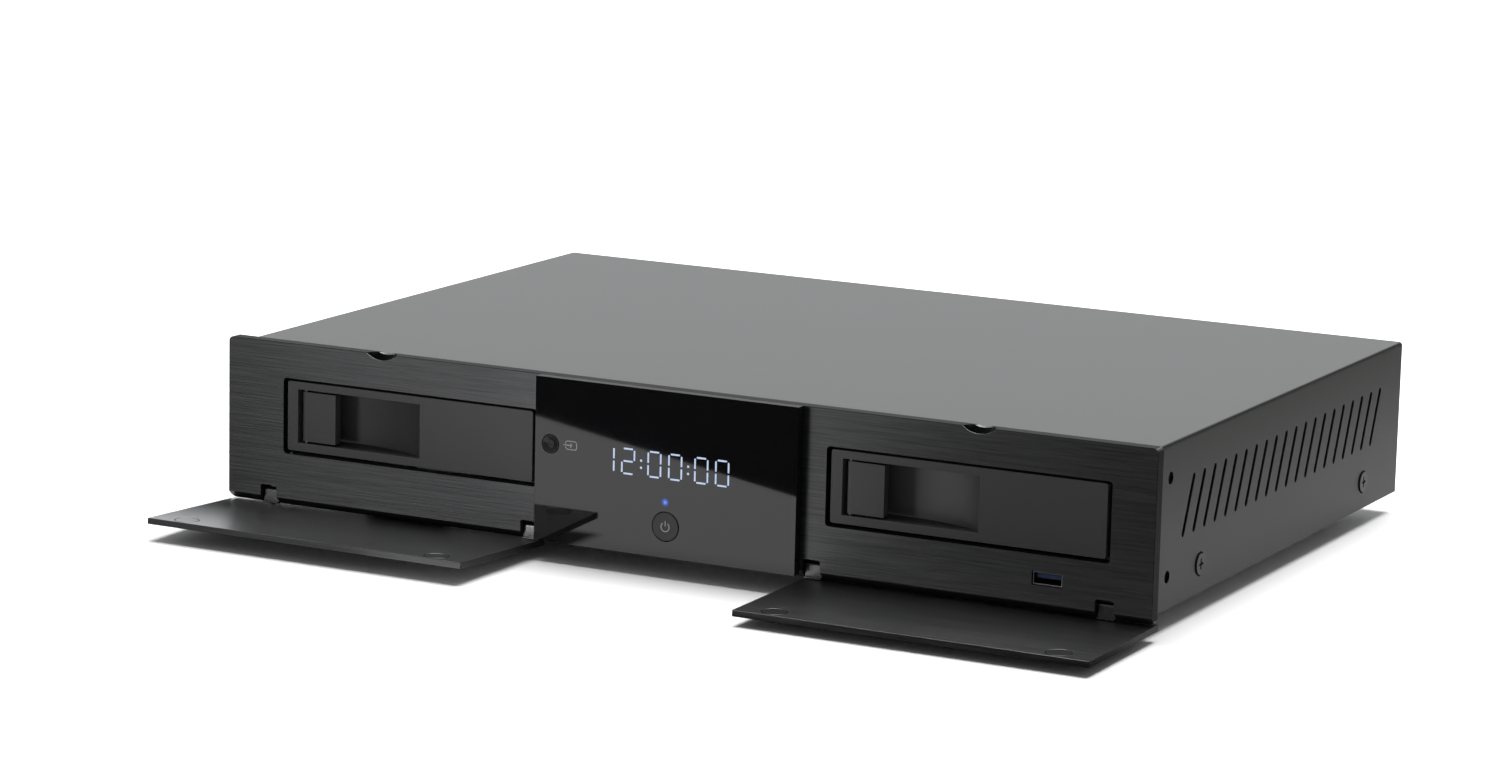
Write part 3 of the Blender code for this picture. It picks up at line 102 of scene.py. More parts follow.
class Finish:
    """A material on Object coordinates, whose varying parts feed one Principled shader."""

    def __init__(self, name, colour, roughness, metallic=0.0, **plain):
        self.material = bpy.data.materials.new(name)
        self.material.use_nodes = True
        self.tree = self.material.node_tree
        self.shader = self.tree.nodes["Principled BSDF"]
        self.set("Base Color", (*colour, 1))
        self.set("Roughness", roughness)
        self.set("Metallic", metallic)
        for socket, value in plain.items():
            self.set(socket.replace("_", " "), value)
        self.material.diffuse_color = (*colour, 1)

    def set(self, socket, value):
        if isinstance(value, Wire):
            self.tree.links.new(value.socket, self.shader.inputs[socket])
        else:
            self.shader.inputs[socket].default_value = value

    def node(self, kind, settings=None, inputs=None, output=0):
        node = self.tree.nodes.new("ShaderNode" + kind)
        for setting, value in (settings or {}).items():
            setattr(node, setting, value)
        for socket, value in (inputs or {}).items():
            if isinstance(value, Wire):
                self.tree.links.new(value.socket, node.inputs[socket])
            else:
                node.inputs[socket].default_value = value
        return Wire(node.outputs[output])

    def vector(self, operation, first, second=(0, 0, 0), output=0):
        return self.node("VectorMath", {"operation": operation}, {0: first, 1: second}, output)

    def place(self):
        """The Object coordinates."""
        return self.node("TexCoord", output="Object")

    def axis(self, letter):
        """One of the three Object coordinates."""
        return self.node("SeparateXYZ", inputs={0: self.place()}, output=letter)

    def away(self, x, z):
        """The distance from the line along Y through that x and z."""
        moved = self.vector("SUBTRACT", self.place(), (x, 0, z))
        return self.vector("LENGTH", self.vector("MULTIPLY", moved, (1, 0, 1)), output=1)

    def noise(self, scale, detail=3.0):
        """Noise from 0 to 1, with one scale or one for each axis."""
        scales = scale if isinstance(scale, tuple) else (scale, scale, scale)
        return self.node("TexNoise", inputs={"Vector": self.vector("MULTIPLY", self.place(), scales),
                                             "Scale": 1.0, "Detail": detail, "Roughness": 0.55},
                         output="Fac")

    def ramp(self, value, low, high, start=0.0, end=1.0):
        """Goes evenly from start to end as the value goes from low to high, and no further."""
        return self.node("MapRange", inputs={0: value, 1: low, 2: high, 3: start, 4: end})

    def mix(self, factor, first, second):
        """A colour between two, as the factor goes from 0 to 1."""
        first, second = [part if isinstance(part, Wire) else (*part, 1) for part in (first, second)]
        return self.node("Mix", {"data_type": "RGBA"}, {0: factor, 6: first, 7: second}, 2)

    def either(self, first, second):
        """A mask that is on where one of the two is."""
        return self.node("Math", {"operation": "MAXIMUM"}, {0: first, 1: second})

    def uneven(self, scale, low, spread, detail=3.0):
        """Lets the roughness vary with noise, upwards from low."""
        self.set("Roughness", low + self.noise(scale, detail) * spread)

    def darken(self, mask, share, rougher):
        """Where the mask is on, leaves a share of the colour and adds to the roughness."""
        colour, roughness = [Wire(self.shader.inputs[socket].links[0].from_socket)
                             for socket in ("Base Color", "Roughness")]
        dark = self.node("VectorMath", {"operation": "SCALE"}, {0: colour, 3: share})
        self.set("Base Color", self.mix(mask, colour, dark))
        self.set("Roughness", roughness + mask * rougher)

    def bump(self, height, distance):
        inputs = {"Height": height, "Distance": distance, "Strength": 1.0}
        self.set("Normal", self.node("Bump", inputs=inputs))

    def on(self, piece):
        piece.data.materials.clear()
        piece.data.materials.append(self.material)
        for face in piece.data.polygons:
            face.material_index = 0

    def coat(self, *names):
        """Gives CAD nodes this material, and leaves their meshes as they are."""
        for name in names:
            for slot in nodes[name].material_slots:
                slot.material = self.material


def only(piece):
    """Makes this piece the one that the next operators act on."""
    bpy.ops.object.select_all(action="DESELECT")
    piece.select_set(True)
    bpy.context.view_layer.objects.active = piece


MERGE_GAP = 0.00001
FLAT_ANGLE = math.radians(0.5)


def softened(node, width, angle=35):
    """A merged copy of a CAD node, bevelled where it is sharper than the angle, to stand for it."""
    piece = bpy.data.objects.new(node + "_finished", nodes[node].data.copy())
    bpy.context.scene.collection.objects.link(piece)
    only(piece)
    bpy.ops.object.mode_set(mode="EDIT")
    bpy.ops.mesh.select_all(action="SELECT")
    bpy.ops.mesh.remove_doubles(threshold=MERGE_GAP)
    bpy.ops.mesh.dissolve_limited(angle_limit=FLAT_ANGLE)
    bpy.ops.object.mode_set(mode="OBJECT")
    bevel = piece.modifiers.new("edges", "BEVEL")
    bevel.width = width
    bevel.segments = 2
    bevel.limit_method = "ANGLE"
    bevel.angle_limit = math.radians(angle)
    bpy.ops.object.modifier_apply(modifier=bevel.name)
    bpy.ops.object.shade_smooth_by_angle(angle=math.radians(angle))
    normals = piece.modifiers.new("normals", "WEIGHTED_NORMAL")
    normals.keep_sharp = True
    bpy.ops.object.modifier_apply(modifier=normals.name)
    return piece


FINE_SCRATCHES = (60, 3800, 3800)
COARSE_SCRATCHES = (30, 1500, 1500)
PATCHES = 14
SCRATCH_RANGE = (0.32, 0.68)
SCRATCH_DEPTH = 0.00008
FINE_SHARE = 0.45
STREAK_SPREAD = 0.2
PATCH_SPREAD = 0.08
DULL_SHARE = 0.72
BRIGHT_SHARE = 1.28


def brushed_metal(name, colour, roughness):
    """Brushed along X: long fine scratches that change quickly across and slowly along."""
    finish = Finish(name, colour, roughness, metallic=1.0)
    fine = finish.noise(FINE_SCRATCHES, detail=2.0)
    coarse = finish.noise(COARSE_SCRATCHES)
    patches = finish.noise(PATCHES, detail=2.0)
    streak = fine * FINE_SHARE + coarse * (1 - FINE_SHARE)
    dull, bright = [[part * share for part in colour] for share in (DULL_SHARE, BRIGHT_SHARE)]
    contrast = finish.ramp(streak, *SCRATCH_RANGE)
    finish.set("Base Color", finish.mix(contrast, dull, bright))
    uneven = (streak - 0.5) * STREAK_SPREAD + (patches - 0.5) * PATCH_SPREAD
    finish.set("Roughness", roughness + uneven)
    finish.bump(streak, SCRATCH_DEPTH)
    return finish


PLATE_BEVEL = 0.00015
EDGE_DEPTH = 0.0002
NOTCH_MIDDLE = 0.1385
NOTCH_HALF = 0.0079
NOTCH_TOP = 0.000025
NOTCH_BOTTOM = 0.0031
SCOOP_FRONT = 0.00014
SCOOP_BACK = 0.0045
plate_finish = brushed_metal("brushed_plate", (0.085, 0.086, 0.088), 0.42)
plate_low, plate_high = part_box("front_plate")
off_middle = abs(plate_finish.axis("X"))
below_top = plate_high[2] - plate_finish.axis("Z")
behind_face = plate_finish.axis("Y") - plate_low[1]
# Painted shade: the plate's top face and its two end faces are darkened, which takes out their
# highlights.
plate_edge_shade = plate_finish.either(off_middle > plate_high[0] - EDGE_DEPTH, below_top < EDGE_DEPTH)
# Painted shade: the scoops of the finger notches are near black, all but a strip at the plate's back.
scoop_shade = abs(off_middle - NOTCH_MIDDLE) < NOTCH_HALF
scoop_shade *= (below_top > NOTCH_TOP) * (below_top < NOTCH_BOTTOM)
scoop_shade *= (behind_face > SCOOP_FRONT) * (behind_face < SCOOP_BACK)
plate_finish.darken(plate_edge_shade, share=0.3, rougher=0.4)
plate_finish.darken(scoop_shade, share=0.01, rougher=1.0)
front_plate = softened("front_plate", PLATE_BEVEL)
plate_finish.on(front_plate)
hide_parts("front_plate")
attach(front_plate, "player")

# Display panel: a sheet of smoked acrylic with a polished face, glued to the plate.
# Its top edge is sawn and left satin.
PANEL_BEVEL = 0.0001
SAWN_DEPTH = 0.00015
panel_low, panel_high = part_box("display_window")
panel_face = panel_low[1]
gloss_finish = Finish("gloss_panel", (0.004, 0.004, 0.0045), 0.03)
gloss_finish.uneven(60, low=0.02, spread=0.03, detail=4.0)
sawn_edge = gloss_finish.axis("Z") > panel_high[2] - SAWN_DEPTH
polished = Wire(gloss_finish.shader.outputs[0])
satin = gloss_finish.node("BsdfPrincipled", inputs={"Base Color": (0.006, 0.006, 0.006, 1),
                                                    "Roughness": 0.5, "Specular IOR Level": 0.08})
blend = gloss_finish.node("MixShader", inputs={0: sawn_edge, 1: polished, 2: satin})
gloss_finish.tree.links.new(blend.socket, gloss_finish.tree.nodes["Material Output"].inputs["Surface"])
display_window = softened("display_window", PANEL_BEVEL)
gloss_finish.on(display_window)
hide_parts("display_window")
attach(display_window, "player")

# Clock: six digits and two colons of thin lit bars, which shine through the smoked panel.
# The bars are one shape, turned and repeated, with cut ends.
PRINT_HEIGHT = 0.00006
PRINT_SUNK = 0.00002
STROKE_CUT = 0.3
STRAIGHT = 0.9
BAR_WIDTH = 0.00072
BAR_LENGTH = 0.0043
DIGIT_MIDDLES = (-0.0263, -0.0167, -0.00445, 0.0052, 0.01725, 0.02685)
DIGIT_HALF_WIDTH = 0.0029
DIGIT_LEVEL = 0.0474
DIGIT_HALF_HEIGHT = 0.0052
COLON_MIDDLES = (-0.01065, 0.0112)
COLON_LEVELS = (0.0454, 0.0484)
COLON_SIDE = 0.00095
CLOCK = "120000"
LIT = {"0": "top bottom upper_left lower_left upper_right lower_right",
       "1": "upper_right lower_right",
       "2": "top bottom middle upper_right lower_left"}
half_rise = DIGIT_HALF_HEIGHT / 2
BAR_PLACES = {
    "top": (0, DIGIT_HALF_HEIGHT, True),
    "middle": (0, 0, True),
    "bottom": (0, -DIGIT_HALF_HEIGHT, True),
    "upper_left": (-DIGIT_HALF_WIDTH, half_rise, False),
    "lower_left": (-DIGIT_HALF_WIDTH, -half_rise, False),
    "upper_right": (DIGIT_HALF_WIDTH, half_rise, False),
    "lower_right": (DIGIT_HALF_WIDTH, -half_rise, False),
}


def pick(piece, kind, test):
    """Enters edit mode with those edges or faces selected whose middle and direction pass the test."""
    only(piece)
    bpy.ops.object.mode_set(mode="EDIT")
    bpy.context.tool_settings.mesh_select_mode = (False, kind == "edges", kind == "faces")
    bpy.ops.mesh.select_all(action="DESELECT")
    bpy.ops.object.mode_set(mode="OBJECT")
    if kind == "faces":
        for face in piece.data.polygons:
            face.select = test(face.center, face.normal)
    else:
        for edge in piece.data.edges:
            first, second = [piece.data.vertices[index].co for index in edge.vertices]
            edge.select = test((first + second) / 2, (second - first).normalized())
    bpy.ops.object.mode_set(mode="EDIT")


def stroke(name, length, width):
    """A flat stroke along X with cut ends, which stands a little proud of Y = 0 towards -Y."""
    thickness = PRINT_HEIGHT + PRINT_SUNK
    bpy.ops.object.select_all(action="DESELECT")
    bpy.ops.mesh.primitive_cube_add(size=1, location=(0, PRINT_SUNK - thickness / 2, 0),
                                    scale=(length, thickness, width))
    piece = bpy.context.object
    piece.name = name
    bpy.ops.object.transform_apply(location=True, rotation=True, scale=True)
    pick(piece, "edges", lambda middle, direction: abs(direction.y) > STRAIGHT)
    bpy.ops.mesh.bevel(offset=width * STROKE_CUT, segments=2)
    bpy.ops.object.mode_set(mode="OBJECT")
    return piece


def copied(piece, matrix):
    """A copy with a mesh of its own, put in place by the matrix."""
    copy = bpy.data.objects.new(piece.name, piece.data.copy())
    bpy.context.scene.collection.objects.link(copy)
    copy.matrix_world = matrix
    only(copy)
    bpy.ops.object.transform_apply(location=True, rotation=True, scale=True)
    return copy


def joined(name, pieces):
    """One piece from several."""
    only(pieces[0])
    for piece in pieces:
        piece.select_set(True)
    bpy.ops.object.join()
    whole = bpy.context.object
    whole.name = name
    return whole


def upright(x, y, z, turn=0.0):
    """The matrix to a place on a face that looks towards -Y, turned in that face."""
    return Matrix.Translation((x, y, z)) @ Matrix.Rotation(-turn, 4, "Y")


lit_bar = stroke("lit_bar", BAR_LENGTH, BAR_WIDTH)
lit_dot = stroke("lit_dot", COLON_SIDE, COLON_SIDE)
lit = []
for digit, middle in zip(CLOCK, DIGIT_MIDDLES):
    for name in LIT[digit].split():
        along, rise, level = BAR_PLACES[name]
        turn = 0.0 if level else math.radians(90)
        lit.append(copied(lit_bar, upright(middle + along, panel_face, DIGIT_LEVEL + rise, turn)))
for middle in COLON_MIDDLES:
    lit += [copied(lit_dot, upright(middle, panel_face, level)) for level in COLON_LEVELS]
clock_digits = joined("clock_digits", lit)
bpy.data.objects.remove(lit_bar)
bpy.data.objects.remove(lit_dot)
lit_finish = Finish("clock_light", (0.02, 0.025, 0.03), 0.3, Emission_Strength=0.85)
flicker = lit_finish.noise(700, detail=1.0)
lit_finish.set("Emission Color", lit_finish.mix(flicker, (0.36, 0.5, 0.86), (0.75, 0.84, 1.0)))
lit_finish.on(clock_digits)
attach(clock_digits, "player")

# Power light: the end of a clear light guide, which glows blue through the panel.
# It is brightest in the middle and fades out into a soft halo.
LAMP_X = 0.0009
LAMP_Z = 0.0323
LAMP_HALO = 0.0023
LAMP_CORE = 0.0008
LAMP_FADE = 2.2
bpy.ops.object.select_all(action="DESELECT")
bpy.ops.mesh.primitive_cylinder_add(vertices=48, radius=LAMP_HALO, depth=PRINT_HEIGHT + PRINT_SUNK,
                                    location=(LAMP_X, panel_face - PRINT_HEIGHT / 4, LAMP_Z),
                                    rotation=(math.radians(90), 0, 0))
power_glow = bpy.context.object
power_glow.name = "power_glow"
bpy.ops.object.transform_apply(location=True, rotation=True, scale=True)
pick(power_glow, "faces", lambda middle, normal: normal.y < -STRAIGHT)
bpy.ops.mesh.inset(thickness=LAMP_HALO / 3, depth=PRINT_HEIGHT / 4)
bpy.ops.object.mode_set(mode="OBJECT")
glow_finish = Finish("light_guide", (0.004, 0.004, 0.005), 0.03, Emission_Strength=0.85)
spread = glow_finish.away(LAMP_X, LAMP_Z)
fade = glow_finish.ramp(spread, LAMP_CORE, LAMP_HALO, 1.0, 0.0)
core = glow_finish.ramp(spread, 0.0, LAMP_CORE, 1.0, 0.0)
halo = glow_finish.mix(fade ** LAMP_FADE, (0.0, 0.0, 0.0), (0.03, 0.12, 0.75))
glow_finish.set("Emission Color", glow_finish.mix(core, halo, (0.2, 0.42, 1.0)))
glow_finish.on(power_glow)
glow_finish.coat("power_light")
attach(power_glow, "player")

# Buttons: turned caps of dark satin plastic. The power button is flat and carries a printed sign.
# The input button is dished for a fingertip, in four steps that are shaded as one hollow.
BUTTON_BEVEL = 0.0002
FACE_MARGIN = 0.000005
DISH_STEPS = ((0.0003, 0), (0.0005, 0.0004), (0.0008, 0.0003), (0.0009, 0.00015))
DISH_ANGLE = math.radians(50)
button_finish = Finish("button_plastic", (0.012, 0.012, 0.0125), 0.32, Specular_IOR_Level=0.3)
button_finish.uneven(900, low=0.28, spread=0.1)
for name in ("power_button", "input_button"):
    cap = softened(name, BUTTON_BEVEL)
    if name == "input_button":
        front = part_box(name)[0][1]
        pick(cap, "faces", lambda middle, normal: middle.y < front + FACE_MARGIN)
        for shrink, sink in DISH_STEPS:
            bpy.ops.mesh.inset(thickness=shrink, depth=-sink)
        bpy.ops.object.mode_set(mode="OBJECT")
        bpy.ops.object.shade_smooth_by_angle(angle=DISH_ANGLE)
    button_finish.on(cap)
    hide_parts(name)
    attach(cap, name)

# Signs: a ring with a gap and a bar on the power button, and an arrow into a rounded frame by the
# other. They are printed in grey ink, in three thin layers, so that strokes that meet share no face.
SIGN_WIDTH = 0.00042
PRINT_STEP = 0.000004
PRINT_LAYERS = 3
POWER_SIGN = (0.0012, 0.0220)
RING_RADIUS = 0.0019
RING_GAP = math.radians(38)
RING_STEPS = 14
POWER_BAR_SHARES = (0.2, 1.3)
INPUT_SIGN = (-0.0436, 0.0509)
FRAME_WIDE = 0.0026
FRAME_HIGH = 0.00175
FRAME_CORNER = 0.0009
FRAME_GAP = 0.0006
FRAME_CORNERS = ((-1, 1, 180), (1, 1, 90), (1, -1, 0), (-1, -1, -90))
ARROW_START = -0.0036
ARROW_END = 0.0004
ARROW_HEAD = 0.0008


def signed(name, lines, place, face):
    """Printed lines, each from one point to another about the place."""
    strokes = []
    for number, (start, end) in enumerate(lines):
        reach = Vector(end) - Vector(start)
        middle = (Vector(end) + Vector(start)) / 2
        line = stroke("line", reach.length + SIGN_WIDTH / 2, SIGN_WIDTH)
        layer = face - PRINT_STEP * (number % PRINT_LAYERS)
        strokes.append(copied(line, upright(place[0] + middle.x, layer, place[1] + middle.y,
                                            math.atan2(reach.y, reach.x))))
        bpy.data.objects.remove(line)
    return joined(name, strokes)


turns = [RING_GAP + (math.tau - RING_GAP * 2) * step / RING_STEPS for step in range(RING_STEPS + 1)]
ring = [(RING_RADIUS * math.sin(turn), RING_RADIUS * math.cos(turn)) for turn in turns]
power_lines = list(zip(ring, ring[1:]))
power_lines.append([(0, RING_RADIUS * share) for share in POWER_BAR_SHARES])
outline = [(-FRAME_WIDE, FRAME_GAP)]
for side, level, first in FRAME_CORNERS:
    for back in (0, 45, 90):
        turn = math.radians(first - back)
        outline.append((side * (FRAME_WIDE - FRAME_CORNER) + FRAME_CORNER * math.cos(turn),
                        level * (FRAME_HIGH - FRAME_CORNER) + FRAME_CORNER * math.sin(turn)))
outline.append((-FRAME_WIDE, -FRAME_GAP))
input_lines = list(zip(outline, outline[1:]))
input_lines += [((ARROW_START, 0), (ARROW_END, 0)),
                ((ARROW_END, 0), (ARROW_END - ARROW_HEAD, ARROW_HEAD)),
                ((ARROW_END, 0), (ARROW_END - ARROW_HEAD, -ARROW_HEAD))]
ink_finish = Finish("sign_ink", (0.22, 0.22, 0.22), 0.5)
worn = ink_finish.noise(1500)
ink_finish.set("Base Color", ink_finish.mix(worn, (0.16, 0.16, 0.16), (0.3, 0.3, 0.3)))
power_sign = signed("power_sign", power_lines, POWER_SIGN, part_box("power_button")[0][1])
input_sign = signed("input_sign", input_lines, INPUT_SIGN, panel_face)
for sign, slot, body in ((power_sign, "button_plastic", "power_button"),
                         (input_sign, "gloss_panel", "player")):
    ink_finish.on(sign)
    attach(sign, body)

# Display module and boards: a glass module before a green board, which hang behind the plate,
# the main and supply boards on the base's posts, and an upright board behind each drive.
# Every board has green solder mask over its tracks, and the level ones carry dark and amber parts.
TRACKS_ALONG = (420, 30, 420)
TRACKS_ACROSS = (30, 420, 420)
TRACK_HALF = 0.03
TRACK_HEIGHT = 0.00003
PART_PATCHES = (55, 55, 2)
PARTS_RISE = 0.0004
PARTS_LIMIT = 0.52
NO_PARTS = 1.0
glass_finish = Finish("display_glass", (0.012, 0.012, 0.015), 0.08, Coat_Weight=0.5)
glass_finish.uneven(90, low=0.06, spread=0.08)
glass_finish.coat("display_module")


def board_finish(name, top):
    """Green solder mask over fine tracks. What rises above the board's top is dark or amber."""
    finish = Finish(name, (0.012, 0.06, 0.026), 0.35)
    along = finish.noise(TRACKS_ALONG, detail=0.0)
    across = finish.noise(TRACKS_ACROSS, detail=0.0)
    tracks = finish.either(abs(along - 0.5) < TRACK_HALF, abs(across - 0.5) < TRACK_HALF)
    green = finish.mix(tracks, (0.01, 0.055, 0.024), (0.03, 0.12, 0.05))
    raised = finish.axis("Z") > top + PARTS_RISE
    patches = finish.noise(PART_PATCHES, detail=0.0)
    parts = finish.mix(patches > PARTS_LIMIT, (0.02, 0.02, 0.021), (0.32, 0.2, 0.03))
    finish.set("Base Color", finish.mix(raised, green, parts))
    finish.bump(tracks, TRACK_HEIGHT)
    return finish


level_board = board_finish("circuit_board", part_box("main_board")[1][2])
level_board.coat("main_board", "power_supply_board")
upright_board = board_finish("circuit_board_upright", NO_PARTS)
upright_board.coat("control_board", "left_backplane", "right_backplane")

# Doors: two thin leaves of the plate's own brushed aluminium, each on two bent clips.
# Clips turn on steel pins in the plate, and two small magnets hold a closed door.
# The front edges and the ends of the doors are painted darker, as shade that takes out their highlights.
DOOR_BEVEL = 0.0002
FITTING_BEVEL = 0.00015
door_finish = brushed_metal("brushed_door", (0.13, 0.131, 0.133), 0.32)
door_low, door_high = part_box("left_door")
door_middle = -(door_low[0] + door_high[0]) / 2
door_half = (door_high[0] - door_low[0]) / 2
# Painted shade: the doors' front edges are darkened a little and their ends much more.
door_front_shade = door_finish.axis("Y") < door_low[1] + EDGE_DEPTH
door_ends_shade = abs(abs(door_finish.axis("X")) - door_middle) > door_half - EDGE_DEPTH
door_finish.darken(door_front_shade, share=0.75, rougher=0.3)
door_finish.darken(door_ends_shade, share=0.3, rougher=0.3)
clip_finish = Finish("clip_steel", (0.115, 0.115, 0.118), 0.26, metallic=1.0)
clip_finish.uneven(600, low=0.2, spread=0.12)
magnet_finish = Finish("magnet", (0.105, 0.105, 0.107), 0.3, metallic=1.0)
magnet_finish.uneven(800, low=0.26, spread=0.1)
pin_finish = Finish("pin_steel", (0.5, 0.5, 0.51), 0.25, metallic=1.0)
pin_finish.uneven((500, 3000, 3000), low=0.2, spread=0.12)
for side in ("left", "right"):
    body = side + "_door"
    door = softened(body, DOOR_BEVEL)
    door_finish.on(door)
    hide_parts(body)
    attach(door, body)
    for end in ("outer", "inner"):
        for part, finish, slot in (("clip", clip_finish, "clip_steel"),
                                   ("magnet", magnet_finish, "magnet")):
            node = side + "_door_" + end + "_" + part
            piece = softened(node, FITTING_BEVEL, angle=40)
            finish.on(piece)
            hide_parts(node)
            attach(piece, body)
        pin_finish.coat(side + "_door_" + end + "_pin")

# Racks: sheet cages on waisted rubber mounts, and the two moulded trays that slide in them. The cages
# are painted black as shade, for the dark gap behind the plate.
# A tray's textured bezel has a scooped window with a pivoting lever at its left end.
TRAY_BEVEL = 0.0003
TRAY_GRAIN = 0.00003
# Painted shade: the cages are black, so that the gap behind the plate reads as shade.
cage_shade_finish = Finish("black_sheet", (0.006, 0.006, 0.0065), 0.5)
cage_shade_finish.uneven(700, low=0.42, spread=0.16)
rubber_finish = Finish("isolator_rubber", (0.02, 0.02, 0.02), 0.85)
rubber_finish.uneven(400, low=0.78, spread=0.14)
plastic_finish = Finish("tray_plastic", (0.03, 0.03, 0.031), 0.45)
plastic_finish.bump(plastic_finish.noise(2200, detail=2.0), TRAY_GRAIN)
for side in ("left", "right"):
    cage_shade_finish.coat(side + "_rack_cage")
    for end in ("front", "rear"):
        rubber_finish.coat(side + "_isolator_" + end + "_left", side + "_isolator_" + end + "_right")
    for node in (side + "_tray", side + "_tray_lever"):
        piece = softened(node, TRAY_BEVEL)
        plastic_finish.on(piece)
        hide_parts(node)
        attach(piece, node)
    pin_finish.coat(side + "_lever_pin")

# Base: folded zinc-plated sheet with its posts, under the painted lid.
# The plating shows a faint mottled bloom.
zinc_finish = Finish("zinc_sheet", (0.25, 0.25, 0.255), 0.4, metallic=1.0)
bloom = zinc_finish.noise(90, detail=4.0)
zinc_finish.set("Base Color", zinc_finish.mix(bloom, (0.2, 0.2, 0.205), (0.3, 0.3, 0.305)))
zinc_finish.set("Roughness", 0.34 + bloom * 0.14)
zinc_finish.coat("base")

# Lid and rear panel: folded sheet with punched holes, and leaning vent slots in the lid's sides.
# Both are powder coated in a fine satin dark grey. Their inside and the walls of their slots and holes
# are painted black, as shade.
LID_BEVEL = 0.0002
SKIN = 0.0002
COAT_COLOUR = (0.022, 0.0212, 0.0205)
INSIDE_SHADE_COLOUR = (0.002, 0.002, 0.002)
COAT_GRAIN = 0.00004
lid_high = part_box("lid")[1]
rear_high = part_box("rear_panel")[1]
paint_finish = Finish("painted_case", COAT_COLOUR, 0.42, Specular_IOR_Level=0.1)
paint_finish.bump(paint_finish.noise(1400, detail=2.0), COAT_GRAIN)
# Painted shade: all but the outer faces, so the inside and the walls of slots and holes, is black.
inside_shade = abs(paint_finish.axis("X")) < lid_high[0] - SKIN
inside_shade *= paint_finish.axis("Z") < lid_high[2] - SKIN
inside_shade *= paint_finish.axis("Y") < rear_high[1] - SKIN
paint_finish.set("Base Color", paint_finish.mix(inside_shade, COAT_COLOUR, INSIDE_SHADE_COLOUR))
for node in ("lid", "rear_panel"):
    panel = softened(node, LID_BEVEL)
    paint_finish.on(panel)
    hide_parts(node)
    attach(panel, "player")

# Side screws: blackened machine screws with low round heads and a slot.
# Two on each side hold the lid to the base's flanges.
SCREW_BEVEL = 0.00015
screw_finish = Finish("screw_steel", (0.004, 0.004, 0.0042), 0.4, Specular_IOR_Level=0.1)
screw_finish.uneven(900, low=0.26, spread=0.14)
for side in ("left", "right"):
    for end in ("front", "rear"):
        node = side + "_side_screw_" + end
        screw = softened(node, SCREW_BEVEL)
        screw_finish.on(screw)
        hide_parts(node)
        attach(screw, "player")

# Feet: moulded rubber, slightly tapered, each pressed into the base by its stem.
# They are of the same dull rubber as the rack mounts, with rounded edges.
FOOT_BEVEL = 0.0005
for side in ("left", "right"):
    for end in ("front", "rear"):
        node = side + "_" + end + "_foot"
        foot = softened(node, FOOT_BEVEL)
        rubber_finish.on(foot)
        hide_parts(node)
        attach(foot, "player")

# Heat sink: an extruded aluminium comb, sawn to length, over the main board's processor.
# The die leaves fine lines along its fins.
sink_finish = Finish("heat_sink_metal", (0.6, 0.61, 0.62), 0.35, metallic=1.0)
sink_finish.uneven((2500, 12, 2500), low=0.28, spread=0.16)
sink_finish.coat("heat_sink")

# Front USB socket: a plated shell round a blue tongue, on a small board of its own.
# Four gold contacts lie under the tongue. The shell is painted darker deeper inside, as shade.
USB_BEVEL = 0.0001
MARGIN = 0.0001
TONGUE_HALF_WIDTH = 0.00545
TONGUE_TOP_GAP = 0.00095
TONGUE_THICKNESS = 0.0018
TONGUE_SET_BACK = 0.0018
SHELL_HEIGHT = 0.0052
SHELL_COLOUR = (0.4, 0.4, 0.41)
DEEP_SHADE_COLOUR = (0.02, 0.02, 0.022)
DEEP_SHADE_SHARE = 0.12
CONTACT_PITCH = 0.0023
CONTACT_WIDTH = 0.0011
CONTACT_LENGTH = 0.0062
CONTACT_THICKNESS = 0.00014
CONTACT_PLACES = (-1.5, -0.5, 0.5, 1.5)
CONTACT_BACK_SHARE = 0.6
usb_low, usb_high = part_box("front_usb_socket")
usb_middle = (usb_low[0] + usb_high[0]) / 2
tongue_top = usb_high[2] - TONGUE_TOP_GAP
tongue_bottom = tongue_top - TONGUE_THICKNESS
tongue_front = usb_low[1] + TONGUE_SET_BACK
usb_finish = Finish("usb_socket_metal", SHELL_COLOUR, 0.3, metallic=1.0)
usb_x, usb_y, usb_z = [usb_finish.axis(letter) for letter in "XYZ"]
tongue = (abs(usb_x - usb_middle) < TONGUE_HALF_WIDTH) * (usb_y > tongue_front - MARGIN)
tongue *= (usb_z > tongue_bottom - MARGIN) * (usb_z < tongue_top + MARGIN)
on_board = usb_z < usb_high[2] - SHELL_HEIGHT
# Painted shade: the shell darkens from its mouth back to the tongue's front.
depth = usb_finish.ramp(usb_y, usb_low[1], tongue_front, 1.0, DEEP_SHADE_SHARE)
shell_colour = usb_finish.mix(depth, DEEP_SHADE_COLOUR, SHELL_COLOUR)
usb_colour = usb_finish.mix(tongue, shell_colour, (0.018, 0.036, 0.09))
usb_finish.set("Base Color", usb_finish.mix(on_board, usb_colour, (0.01, 0.055, 0.024)))
usb_finish.set("Metallic", (1 - tongue) * (1 - on_board))
usb_socket = softened("front_usb_socket", USB_BEVEL)
usb_finish.on(usb_socket)
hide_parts("front_usb_socket")
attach(usb_socket, "player")
bpy.ops.object.select_all(action="DESELECT")
bpy.ops.mesh.primitive_cube_add(size=1, location=(0, 0, 0),
                                scale=(CONTACT_WIDTH, CONTACT_LENGTH, CONTACT_THICKNESS))
contact = bpy.context.object
bpy.ops.object.transform_apply(location=True, rotation=True, scale=True)
pick(contact, "edges", lambda middle, direction: abs(direction.z) > STRAIGHT)
bpy.ops.mesh.bevel(offset=CONTACT_WIDTH / 3, segments=3)
bpy.ops.object.mode_set(mode="OBJECT")
contact_y = tongue_front + CONTACT_LENGTH * CONTACT_BACK_SHARE
contact_z = tongue_bottom - CONTACT_THICKNESS / 2
strips = [copied(contact, Matrix.Translation((usb_middle + place * CONTACT_PITCH, contact_y, contact_z)))
          for place in CONTACT_PLACES]
